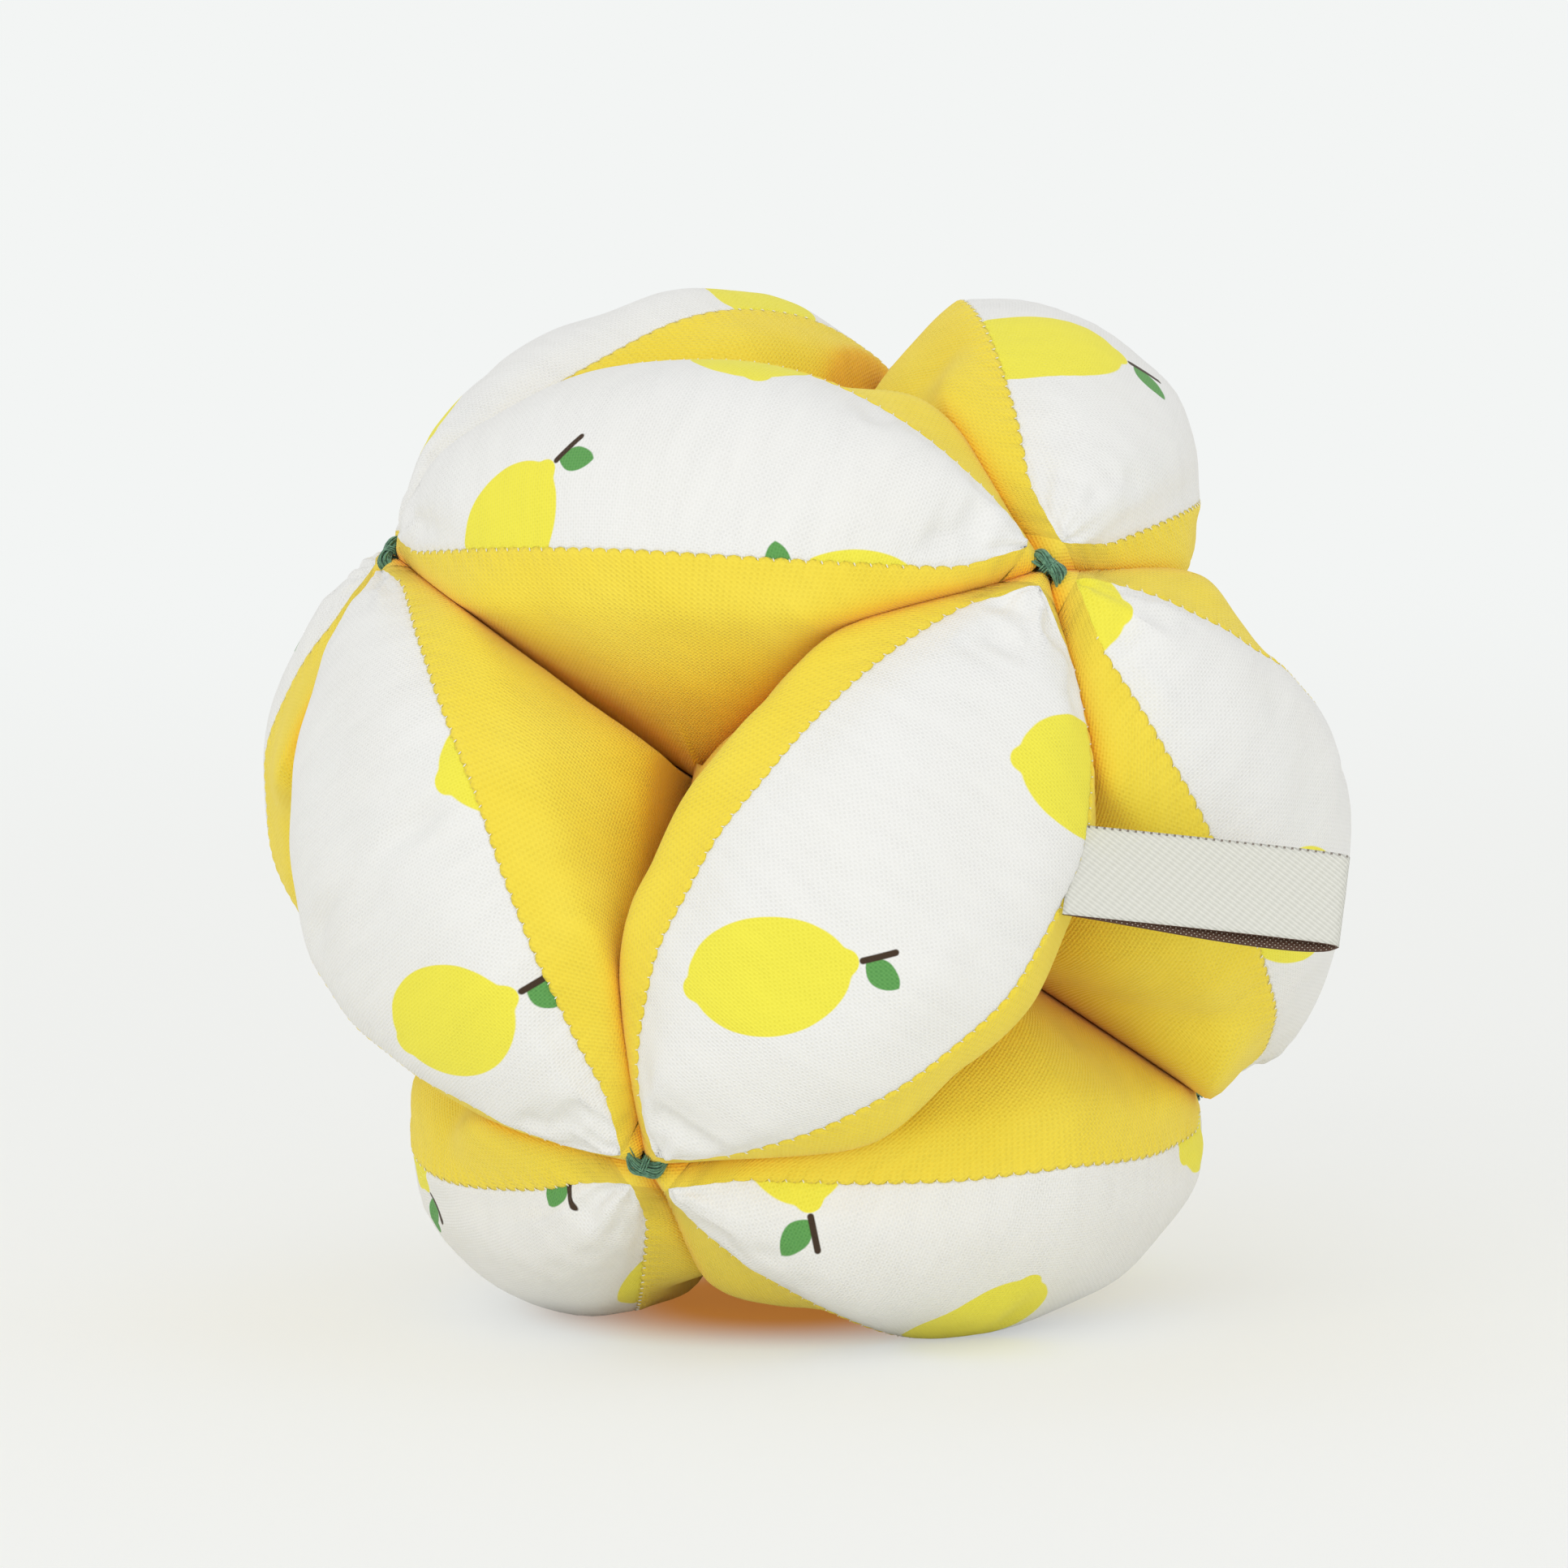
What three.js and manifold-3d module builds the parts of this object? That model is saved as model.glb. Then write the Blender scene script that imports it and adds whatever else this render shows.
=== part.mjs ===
// Stuffed cloth grasping ball: twelve wedges tied together at six points.
// Each wedge is a printed cover, two plain side panels and a loose filling.
// Millimetres, Z up, standing on three of its wedges.
import * as THREE from 'three';
import { mergeVertices } from 'three/addons/utils/BufferGeometryUtils.js';
import Module from 'manifold-3d';

const wasm = await Module();
wasm.setup();
const { degToRad } = THREE.MathUtils;
const mix = THREE.MathUtils.lerp;

// The ball: distances are from its centre
const tieRadius = 53;          // to each floss tie
const crownRadius = 60.7;      // to the top of a wedge, half way along it
const seamRadius = 55.4;       // to the seams beside a cover
const flankRadius = 49.4;      // to the fattest part of a wedge
const foldRadius = 12;         // to the inner fold, where the side panels meet
const coverWidth = 32;         // seam to seam, half way along a wedge
const wedgeWidth = 39.8;       // across the fattest part
const azimuth = -53;           // where the right upper tie points, seen from above

// How a wedge's section curves
const curveReach = 0.36;       // handle of a curve, as a share of its chord
const coverSlope = 51;         // cover to the radius, at the seam
const edgeSlope = 31;          // side panel to the radius, at the seam
const riseTaper = 0.7;         // how the crown's rise falls off towards the tips
const bulgeTaper = 0.6;        // how the flank's depth falls off towards them
const flankShare = 0.45;       // least place of the flank, from fold to seam
const innerFullness = 0.8;     // of the side panels beside the fold
const tipHold = 8;             // how closely the ties keep a leaning wedge's tips upright

// The tips of a wedge, gathered under the ties
const tipWidth = 2.6;
const tipDepth = 4;
const tipRise = 0.4;           // crown above seam at the tip
const tipGap = 1.9;            // tip to the middle of its tie

// Cloth and clearances
const clothThickness = 0.8;    // cotton with its fleece backing
const sewnGap = 0.3;           // between two panels at their seam
const fillGap = 0.85;          // between the cloth and the filling
const restGap = 0.16;          // from a wedge to the plane it shares with its neighbour
const rockAngle = 3;           // how far a wedge rocks each way about its ties
const flatDepth = 0.5;         // how deep the standing wedges are pressed flat

// Floss ties: a short bar of strands over a stem between the four tips
const strandRadius = 0.5;
const strandPitch = 0.85;
const strandCount = 3;
const barLength = 6.8;
const barLift = 1.35;          // middle of the strands above the tie point
const barSag = 0.5;            // how far the bar's ends bend down
const stemRadius = 0.95;
const stemLength = 6;

// Folded ribbon label, sewn into one seam of the front wedge
const labelLength = 30;        // seam to fold
const labelWidth = 9.7;
const ribbonThickness = 0.5;
const labelOpening = 1.5;      // widest gap between its two layers
const labelAngle = -15;        // place along the front wedge, towards the right tie
const labelLift = 20;          // how far it leans out from the side panel
const labelTurn = -8;          // how far it is sewn off square to the seam
const labelGap = 0.3;          // sewn end to the cloth
const labelSlit = 0.2;         // between its layers at the sewn end
const labelBow = 0.35;         // place of the widest gap, as a share of its length
const labelSpread = 1.2;       // how far its layers bow beyond that gap

// How finely the cloth is faceted
const stations = 10;           // along a wedge
const coverCells = 2;          // each side of a cover's middle
const sideShares = [0.55, 0.36, 0.68];   // points on a side panel's two curves

const cloth = {
  printed: { color: 0xf1f1ee, roughness: 0.85, metalness: 0 },
  plain: { color: 0xf2cb2f, roughness: 0.85, metalness: 0 },
  filling: { color: 0xf7f7f5, roughness: 1, metalness: 0 },
  floss: { color: 0x3a7a55, roughness: 0.6, metalness: 0 },
  ribbon: { color: 0xdcdbd0, roughness: 0.7, metalness: 0 },
};

const tipAngle = 45 - THREE.MathUtils.radToDeg(Math.asin(tipGap / tieRadius));

// The end of a curve's handle that leaves a point at a slope to the radius
function sloped(point, reach, slope) {
  const turn = degToRad(slope);
  return new THREE.Vector2(point.x + reach * Math.cos(turn), point.y + reach * Math.sin(turn));
}

// Half of a wedge's section at an angle along it: x is the distance from the
// ball's centre, y the distance from the wedge's middle plane. The points run
// from the crown over the seam and the flank to the inner fold. Hand is 1 for
// the half on side a and -1 for the half on side b.
function halfSection(angle, shape, hand) {
  const share = angle / tipAngle;
  const fullness = 1 - share ** 2;
  const power = share < 0 ? shape.startPower : shape.endPower;
  const width = (1 - Math.abs(share) ** power) * (1 + shape.skew * share);
  const swell = shape.lift * fullness ** riseTaper * (1 + shape.heel * share);
  const coverSpan = coverWidth * shape.plump * (1 + hand * shape.side);
  const flankSpan = coverSpan * (wedgeWidth / coverWidth) * (hand > 0 ? shape.flankA : shape.flankB);
  const seam = new THREE.Vector2(
    mix(tieRadius, seamRadius, fullness) + swell,
    mix(tipWidth, coverSpan, width) / 2,
  );
  const rise = mix(tipRise, crownRadius - seamRadius + shape.rise, fullness ** riseTaper);
  const crown = new THREE.Vector2(seam.x + rise, 0);
  const deepest = tieRadius - tipDepth;
  const foldPlace = foldRadius / Math.sqrt(Math.cos(2 * degToRad(angle)));
  const fold = new THREE.Vector2(Math.min(foldPlace, deepest), 0);
  const belly = hand > 0 ? shape.bellyA : shape.bellyB;
  const bulge = (seamRadius - flankRadius) * fullness ** bulgeTaper * belly;
  const flank = new THREE.Vector2(
    Math.max(seam.x - bulge - tipDepth / 4, mix(fold.x, seam.x, flankShare)),
    mix(tipWidth, flankSpan, width) / 2,
  );

  const coverReach = curveReach * crown.distanceTo(seam);
  const cover = new THREE.CubicBezierCurve(
    crown,
    new THREE.Vector2(crown.x, coverReach),
    sloped(seam, coverReach, -coverSlope),
    seam,
  );
  const edgeReach = curveReach * seam.distanceTo(flank);
  const edge = new THREE.CubicBezierCurve(
    seam,
    sloped(seam, -edgeReach, -edgeSlope),
    new THREE.Vector2(flank.x + edgeReach, flank.y),
    flank,
  );
  const inner = new THREE.CubicBezierCurve(
    flank,
    new THREE.Vector2((flank.x + fold.x) / 2, flank.y),
    new THREE.Vector2(fold.x, innerFullness * flank.y),
    fold,
  );
  const [edgeShare, ...innerShares] = sideShares;
  return [
    ...cover.getPoints(coverCells),
    edge.getPoint(edgeShare),
    flank,
    ...innerShares.map((share) => inner.getPoint(share)),
    fold,
  ];
}

// A wedge meets each neighbour on a plane through their shared tie. It stays
// behind that plane by more where rocking about the ties would carry it further.
function reachBeside(point, depth) {
  const along = (point.x + Math.abs(point.y)) / Math.SQRT2;
  const beside = (point.x - Math.abs(point.y)) / Math.SQRT2;
  const travel = (Math.abs(2 * beside + along - tieRadius) / 2) * degToRad(rockAngle);
  return beside - Math.SQRT2 * (restGap + travel + depth);
}

// A section's point in the wedge's own frame: X out through its middle, Y along
// it. The outer side of the wedge leans about the line through its ties, while
// its fold stays, and its neighbours hold it back. Depth is how far the point
// lies inside the cloth's outer face.
function place(point, angle, shape, depth) {
  const along = angle / tipAngle;
  const held = 1 - Math.abs(along) ** tipHold;
  const lean = (shape.lean + shape.twist * along) * held;
  const turn = degToRad(angle);
  const tieLine = tieRadius / Math.SQRT2;
  const placed = new THREE.Vector3(
    point.x * Math.cos(turn) - tieLine,
    point.x * Math.sin(turn),
    point.y,
  );
  const share = THREE.MathUtils.smoothstep(point.x, foldRadius, flankRadius);
  placed.applyAxisAngle(new THREE.Vector3(0, 1, 0), degToRad(-lean * share));
  placed.x += tieLine;
  const reach = reachBeside(placed, depth);
  placed.z = THREE.MathUtils.clamp(placed.z, -reach, reach);
  return placed;
}

// The same section, moved in by a depth at right angles to the cloth
function inset(points, depth) {
  return points.map((point, i) => {
    if (i === 0) return new THREE.Vector2(point.x - depth, 0);
    if (i === points.length - 1) return new THREE.Vector2(point.x + depth, 0);
    const before = new THREE.Vector2().subVectors(point, points[i - 1]).normalize();
    const after = new THREE.Vector2().subVectors(points[i + 1], point).normalize();
    const run = before.add(after).normalize();
    return new THREE.Vector2(point.x - run.y * depth, point.y + run.x * depth);
  });
}

function clothDepth(angle) {
  const seamHalf = mix(tipWidth, coverWidth, 1 - (angle / tipAngle) ** 2) / 2;
  return Math.min(clothThickness, 0.3 * seamHalf);
}

const mirrored = (point) => new THREE.Vector2(point.x, -point.y);

// Draws the end of a strip back from its seam
function trimmed(strip) {
  const last = strip.at(-1);
  const back = new THREE.Vector2().subVectors(strip.at(-2), last).setLength(sewnGap / 2);
  return [...strip.slice(0, -1), last.clone().add(back)];
}

// The rows of points across each panel, from the half sections on its two sides
function coverRow(halves) {
  const [sideA, sideB] = halves.map((half) => trimmed(half.slice(0, coverCells + 1)));
  return [...sideB.slice(1).reverse().map(mirrored), ...sideA];
}

function stripRow(half) {
  const strip = trimmed(half.slice(coverCells).reverse()).reverse();
  strip[strip.length - 1] = new THREE.Vector2(strip.at(-1).x, sewnGap / 2);
  return strip;
}

const sideRow = ([half]) => stripRow(half);
const otherSideRow = ([, half]) => stripRow(half).map(mirrored).reverse();

function loopRow([sideA, sideB]) {
  return [...sideA, ...sideB.slice(1, -1).reverse().map(mirrored)];
}

function sectionHalves(angle, shape) {
  return [halfSection(angle, shape, 1), halfSection(angle, shape, -1)];
}

function stationAngle(index) {
  return mix(-tipAngle, tipAngle, index / stations);
}

function solidFrom(corners, faces) {
  const geometry = new THREE.BufferGeometry();
  const position = new Float32Array(corners.flatMap((corner) => corner.toArray()));
  geometry.setAttribute('position', new THREE.BufferAttribute(position, 3));
  geometry.setIndex(faces);
  geometry.computeVertexNormals();
  return geometry;
}

// One panel of cloth: an outer and an inner face joined round the edge
function panel(rowOf, shape) {
  const outer = [];
  const inner = [];
  for (let i = 0; i <= stations; i += 1) {
    const angle = stationAngle(i);
    const halves = sectionHalves(angle, shape);
    const depth = clothDepth(angle);
    const lining = halves.map((half) => inset(half, depth));
    outer.push(rowOf(halves).map((point) => place(point, angle, shape, 0)));
    inner.push(rowOf(lining).map((point) => place(point, angle, shape, depth)));
  }
  const across = outer[0].length;
  const layer = across * (stations + 1);
  const at = (i, k) => i * across + k;
  const faces = [];
  const quad = (a, b, c, d) => faces.push(a, b, c, a, c, d);
  for (let i = 0; i < stations; i += 1) {
    for (let k = 0; k < across - 1; k += 1) {
      quad(at(i, k), at(i + 1, k), at(i + 1, k + 1), at(i, k + 1));
      quad(layer + at(i, k), layer + at(i, k + 1), layer + at(i + 1, k + 1), layer + at(i + 1, k));
    }
    quad(at(i, 0), layer + at(i, 0), layer + at(i + 1, 0), at(i + 1, 0));
    const edge = across - 1;
    quad(at(i + 1, edge), layer + at(i + 1, edge), layer + at(i, edge), at(i, edge));
  }
  for (let k = 0; k < across - 1; k += 1) {
    quad(at(0, k + 1), layer + at(0, k + 1), layer + at(0, k), at(0, k));
    quad(at(stations, k), layer + at(stations, k), layer + at(stations, k + 1), at(stations, k + 1));
  }
  return solidFrom([...outer.flat(), ...inner.flat()], faces);
}

// The filling stands a little inside the cloth, on every second station
function fillingGeometry(shape) {
  const rows = [];
  for (let i = 1; i < stations; i += 2) {
    const angle = stationAngle(i);
    const depth = clothDepth(angle) + fillGap;
    const halves = sectionHalves(angle, shape).map((half) => inset(half, depth));
    rows.push(loopRow(halves).map((point) => place(point, angle, shape, depth)));
  }
  const around = rows[0].length;
  const faces = [];
  for (let i = 0; i < rows.length - 1; i += 1) {
    for (let k = 0; k < around; k += 1) {
      const next = (k + 1) % around;
      const a = i * around + k;
      const b = (i + 1) * around + k;
      const c = (i + 1) * around + next;
      const d = i * around + next;
      faces.push(a, b, c, a, c, d);
    }
  }
  const last = (rows.length - 1) * around;
  for (let k = 1; k < around - 1; k += 1) {
    faces.push(0, k, k + 1);
    faces.push(last, last + k + 1, last + k);
  }
  return solidFrom(rows.flat(), faces);
}

function toManifold(geometry) {
  const bare = geometry.clone();
  bare.deleteAttribute('normal');
  bare.deleteAttribute('uv');
  const merged = mergeVertices(bare, 1e-4);
  return new wasm.Manifold(new wasm.Mesh({
    numProp: 3,
    vertProperties: new Float32Array(merged.attributes.position.array),
    triVerts: new Uint32Array(merged.index.array),
  }));
}

function fromManifold(manifold) {
  const mesh = manifold.getMesh();
  const geometry = new THREE.BufferGeometry();
  geometry.setAttribute('position', new THREE.BufferAttribute(mesh.vertProperties, 3));
  geometry.setIndex(new THREE.BufferAttribute(mesh.triVerts, 1));
  geometry.computeVertexNormals();
  return geometry;
}

// A floss tie, with X pointing out of the ball and the bar along Y
function tieGeometry() {
  const section = new THREE.Shape();
  section.absarc(0, 0, strandRadius, 0, Math.PI * 2);
  const top = tieRadius + barLift;
  let tie = toManifold(
    new THREE.CylinderGeometry(stemRadius, stemRadius, stemLength, 8)
      .rotateZ(Math.PI / 2)
      .translate(top - stemLength / 2, 0, 0),
  );
  for (let k = 0; k < strandCount; k += 1) {
    const z = (k - (strandCount - 1) / 2) * strandPitch;
    const path = new THREE.QuadraticBezierCurve3(
      new THREE.Vector3(top - barSag, -barLength / 2, z),
      new THREE.Vector3(top + barSag, 0, z),
      new THREE.Vector3(top - barSag, barLength / 2, z),
    );
    const strand = new THREE.ExtrudeGeometry(section, { steps: 5, curveSegments: 3, extrudePath: path });
    tie = tie.add(toManifold(strand));
  }
  return fromManifold(tie);
}

// The ribbon lies doubled, with its fold at the far end: X along it, Y across
// its thickness, extruded over its width
function labelGeometry() {
  const t = ribbonThickness;
  const gap = labelOpening / 2;
  const bend = gap + t;
  const bow = labelBow * labelLength;
  const outline = new THREE.Shape();
  outline.moveTo(0, -t);
  outline.quadraticCurveTo(bow, -labelSpread * bend, labelLength - bend, -bend);
  outline.absarc(labelLength - bend, 0, bend, -Math.PI / 2, Math.PI / 2);
  outline.quadraticCurveTo(bow, labelSpread * bend, 0, t);
  outline.lineTo(0, labelSlit / 2);
  outline.quadraticCurveTo(bow, labelSpread * gap, labelLength - bend, gap);
  outline.absarc(labelLength - bend, 0, gap, Math.PI / 2, -Math.PI / 2, true);
  outline.quadraticCurveTo(bow, -labelSpread * gap, 0, -labelSlit / 2);
  return new THREE.ExtrudeGeometry(outline, { depth: labelWidth, bevelEnabled: false, curveSegments: 5 })
    .translate(0, 0, -labelWidth / 2);
}

function mesh(name, geometry, finish) {
  const made = new THREE.Mesh(geometry, new THREE.MeshStandardMaterial(finish));
  made.name = name;
  return made;
}

// The six ties point along the ball's own axes
const ties = {
  right: new THREE.Vector3(1, 0, 0),
  left: new THREE.Vector3(0, 1, 0),
  front: new THREE.Vector3(0, 0, 1),
  lower_left: new THREE.Vector3(-1, 0, 0),
  lower_right: new THREE.Vector3(0, -1, 0),
  back: new THREE.Vector3(0, 0, -1),
};

// Each wedge runs from one tie to another. They were stuffed by hand, so each
// differs from the even shape: lean and twist turn it about its ties, in degrees,
// lift and rise move its seams and its crown out, and the rest are shares. Skew
// and heel move its fullness towards its end, side widens the half on side a.
const evenShape = {
  lean: 0, twist: 0, lift: 0, rise: 0, plump: 1, skew: 0, heel: 0, side: 0,
  startPower: 2, endPower: 2, flankA: 1, flankB: 1, bellyA: 1, bellyB: 1,
};
const wedges = [
  ['upper_front', 'left', 'right', {
    lean: -5.2, twist: -1.7, lift: -0.2, plump: 0.884, skew: 0.029, side: -0.092,
    startPower: 2.09,
  }],
  ['upper_left', 'left', 'back', {
    lean: -16, twist: 0.4, lift: 2.29, rise: -0.48, plump: 1.028, skew: 0.072, heel: 1,
    side: -0.061, startPower: 1.4,
  }],
  ['upper_right', 'right', 'back', {
    lean: -5.3, twist: -1, lift: 0.17, rise: 1.93, plump: 1.059, side: 0.102, startPower: 1.67,
    endPower: 1.4, flankA: 0.86, bellyA: 1.02, bellyB: 1.11,
  }],
  ['front', 'right', 'front', {
    lean: -7, twist: -9.9, lift: -3.14, plump: 1.059, skew: 0.112, heel: -1, side: 0.2,
    startPower: 2.75, endPower: 1.76, flankA: 0.92, flankB: 1.1, bellyA: 1.25, bellyB: 0.7,
  }],
  ['front_left', 'left', 'front', {
    lean: -0.3, twist: -1.6, lift: -1.94, rise: -0.66, plump: 1.162, skew: -0.023, heel: -0.06,
    side: -0.046, startPower: 1.78, endPower: 1.55,
  }],
  ['front_right', 'right', 'lower_right', {
    lean: -0.4, twist: 10.2, lift: 1.28, rise: -1.18, plump: 0.932, skew: 0.014,
    startPower: 1.41, endPower: 1.76,
  }],
  ['rear_left', 'left', 'lower_left', {
    lean: -13.7, twist: 5.7, lift: 0.23, rise: -3.48, plump: 0.965, skew: -0.042,
    startPower: 2.08, endPower: 2.02,
  }],
  ['rear_right', 'back', 'lower_right', {
    lean: 1.5, twist: 2, lift: 0.2, rise: -0.4, plump: 0.98, startPower: 1.9, endPower: 1.9,
  }],
  ['rear', 'back', 'lower_left', {
    lean: -2, twist: -2, lift: -0.4, rise: 0.3, plump: 1.02, startPower: 1.9, endPower: 1.8,
  }],
  ['under_right', 'front', 'lower_right', {
    lean: 8.7, twist: -0.5, lift: 0.64, rise: -0.06, plump: 0.939, skew: 0.019, heel: 0.16,
    side: 0.136, startPower: 1.58, endPower: 1.4,
  }],
  ['under_left', 'front', 'lower_left', {
    lean: -2.3, twist: -7.3, lift: -1.48, rise: 0.4, plump: 0.951, skew: 0.081, heel: 0.2,
    side: 0.026, startPower: 1.4, endPower: 1.97,
  }],
  ['under_rear', 'lower_right', 'lower_left', {
    lean: 1, twist: 1.5, lift: -1.3, rise: 0.6, plump: 0.97, startPower: 1.7, endPower: 1.7,
  }],
];
const shapes = {};
for (const [name, , , own] of wedges) shapes[name] = { ...evenShape, ...own };

function basisOf(first, second) {
  const out = new THREE.Vector3().addVectors(first, second).normalize();
  const along = new THREE.Vector3().subVectors(second, first).normalize();
  const across = new THREE.Vector3().crossVectors(out, along);
  return new THREE.Matrix4().makeBasis(out, along, across);
}

const ball = new THREE.Group();
const wedgeGroups = {};
for (const [name, from, to] of wedges) {
  const shape = shapes[name];
  const group = new THREE.Group();
  group.quaternion.setFromRotationMatrix(basisOf(ties[from], ties[to]));
  group.add(
    mesh(`${name}_cover`, panel(coverRow, shape), cloth.printed),
    mesh(`${name}_side_a`, panel(sideRow, shape), cloth.plain),
    mesh(`${name}_side_b`, panel(otherSideRow, shape), cloth.plain),
    mesh(`${name}_filling`, fillingGeometry(shape), cloth.filling),
  );
  wedgeGroups[name] = group;
  ball.add(group);
}

// Each bar lies between the tips, so it is turned an eighth from them
const tieShape = tieGeometry();
for (const [name, out] of Object.entries(ties)) {
  const tip = new THREE.Vector3(out.z, out.x, out.y);
  const tie = mesh(`${name}_tie`, tieShape.clone(), cloth.floss);
  const across = new THREE.Vector3().crossVectors(out, tip);
  tie.quaternion.setFromRotationMatrix(new THREE.Matrix4().makeBasis(out, tip, across));
  tie.quaternion.multiply(
    new THREE.Quaternion().setFromAxisAngle(new THREE.Vector3(1, 0, 0), Math.PI / 4),
  );
  ball.add(tie);
}

// The label leaves the front wedge's seam nearly square to it
function seamPoint(angle) {
  const half = halfSection(angle, shapes.front, 1);
  return place(half[coverCells], angle, shapes.front, 0);
}
const seamRun = new THREE.Vector3()
  .subVectors(seamPoint(labelAngle + 1), seamPoint(labelAngle - 1))
  .normalize();
const lift = new THREE.Vector3(Math.sin(degToRad(labelLift)), 0, Math.cos(degToRad(labelLift)));
const labelRun = lift.addScaledVector(seamRun, -lift.dot(seamRun)).normalize();
const labelFace = new THREE.Vector3().crossVectors(seamRun, labelRun);
labelRun.applyAxisAngle(labelFace, degToRad(-labelTurn));
const labelSide = new THREE.Vector3().crossVectors(labelRun, labelFace);
const label = mesh('label', labelGeometry(), cloth.ribbon);
label.quaternion.setFromRotationMatrix(new THREE.Matrix4().makeBasis(labelRun, labelFace, labelSide));
const labelFoot = ribbonThickness + labelGap;
label.position.copy(seamPoint(labelAngle)).addScaledVector(labelRun, labelFoot);
wedgeGroups.front.add(label);

// The ball stands with the middle of three ties pointing straight up
const upward = new THREE.Vector3(1, 1, -1).normalize();
const tilt = new THREE.Quaternion().setFromUnitVectors(upward, new THREE.Vector3(0, 0, 1));
const rightTie = ties.right.clone().applyQuaternion(tilt);
const spin = degToRad(azimuth) - Math.atan2(rightTie.y, rightTie.x);
ball.quaternion.setFromAxisAngle(new THREE.Vector3(0, 0, 1), spin).multiply(tilt);

const part = new THREE.Group();
part.add(ball);
part.updateMatrixWorld(true);

// The three lower wedges are pressed flat where they stand
const lowest = new THREE.Box3().setFromObject(part, true).min.z;
const slabSize = 4 * crownRadius;
const slabPlace = lowest + flatDepth - slabSize / 2;
const slab = new THREE.BoxGeometry(slabSize, slabSize, slabSize).translate(0, 0, slabPlace);
for (const name of ['under_right', 'under_left', 'under_rear']) {
  const group = wedgeGroups[name];
  const local = toManifold(slab.clone().applyMatrix4(group.matrixWorld.clone().invert()));
  for (const piece of group.children) {
    piece.geometry = fromManifold(toManifold(piece.geometry).subtract(local));
  }
}

// The origin is under the middle of the ball's box, on the floor
part.updateMatrixWorld(true);
const box = new THREE.Box3().setFromObject(part, true);
const middle = box.getCenter(new THREE.Vector3());
ball.position.set(-middle.x, -middle.y, -box.min.z);

export default part;
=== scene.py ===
import math
import random

import bmesh
import bpy
import numpy as np
from mathutils import Matrix, Vector


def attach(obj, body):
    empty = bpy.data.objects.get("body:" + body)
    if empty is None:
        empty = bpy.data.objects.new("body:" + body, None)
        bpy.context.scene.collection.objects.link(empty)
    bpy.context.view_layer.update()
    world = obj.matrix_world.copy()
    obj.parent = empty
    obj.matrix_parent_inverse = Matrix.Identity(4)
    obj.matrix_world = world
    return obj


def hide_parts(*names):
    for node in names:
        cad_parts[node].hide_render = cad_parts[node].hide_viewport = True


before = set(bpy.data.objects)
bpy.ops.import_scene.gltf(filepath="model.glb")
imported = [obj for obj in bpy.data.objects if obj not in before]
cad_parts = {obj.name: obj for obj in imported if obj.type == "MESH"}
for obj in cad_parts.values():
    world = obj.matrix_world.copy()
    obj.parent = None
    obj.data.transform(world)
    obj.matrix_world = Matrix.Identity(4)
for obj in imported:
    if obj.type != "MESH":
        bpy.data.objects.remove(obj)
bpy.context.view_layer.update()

mm = 0.001


# The ball: its size and where its ties point

ball = {
    "middle": (-0.362 * mm, -1.2958 * mm, 52.6694 * mm),
    "tieRadius": 53.0 * mm,
    "crownRadius": 60.7 * mm,
    "seamRadius": 55.4 * mm,
    "flankRadius": 49.4 * mm,
    "foldRadius": 12.0 * mm,
    "coverWidth": 32.0 * mm,
    "wedgeWidth": 39.8 * mm,
    "tipWidth": 2.6 * mm,
    "tipDepth": 4.0 * mm,
    "tipRise": 0.4 * mm,
    "tipGap": 1.9 * mm,
    "riseTaper": 0.7,
    "bulgeTaper": 0.6,
    "flankShare": 0.45,
    "curveReach": 0.36,
    "coverSlope": (0.63, 0.777),
    "edgeSlope": (0.86, 0.51),
    "innerFullness": 0.8,
    "tipHold": 8,
    "contactGap": 0.02 * mm,
    "contactRound": 0.3 * mm,
    "gatherFrom": 5.0 * mm,
    "gatherTo": 1.2 * mm,
    "gatherShare": 0.5,
    "closeFrom": 0.28,
    "closeTo": 0.75,
    "pitTop": 36.0 * mm,
    "pitFloor": 19.0 * mm,
    "fillStart": 0.25,
    "fillEnd": (2.9, 0.6),
    "fillPast": 0.4 * mm,
    "floorRound": 0.3 * mm,
}

right = np.array((0.49138, -0.652083, 0.57735))
left = np.array((-0.810411, -0.099506, 0.57735))
front = np.array((-0.319031, -0.751589, -0.57735))
ties = {
    "right": right,
    "left": left,
    "front": front,
    "lower_left": -right,
    "lower_right": -left,
    "back": -front,
}
middle = np.array(ball["middle"])
tipAngle = math.pi / 4 - math.asin(ball["tipGap"] / ball["tieRadius"])


# Camera, at the photograph's place

view = {
    "fromMiddle": (-9.54316 * mm, -897.99008 * mm, 115.45594 * mm),
    "right": (0.999746, -0.011421, -0.019403),
    "up": (0.020659, 0.122665, 0.99221),
    "pixels": 1932,
    "focalPixels": 10252.46,
    "sensor": 36.0,
}


def addCamera():
    right = Vector(view["right"])
    up = Vector(view["up"])
    back = right.cross(up)
    lens = bpy.data.cameras.new("camera")
    lens.sensor_width = view["sensor"]
    lens.lens = view["focalPixels"] / view["pixels"] * view["sensor"]
    camera = bpy.data.objects.new("camera", lens)
    turned = Matrix((right, up, back)).transposed().to_4x4()
    place = Vector(ball["middle"]) + Vector(view["fromMiddle"])
    camera.matrix_world = Matrix.Translation(place) @ turned
    bpy.context.collection.objects.link(camera)
    bpy.context.scene.camera = camera


addCamera()
print("camera set")


# How each wedge was stuffed

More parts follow.
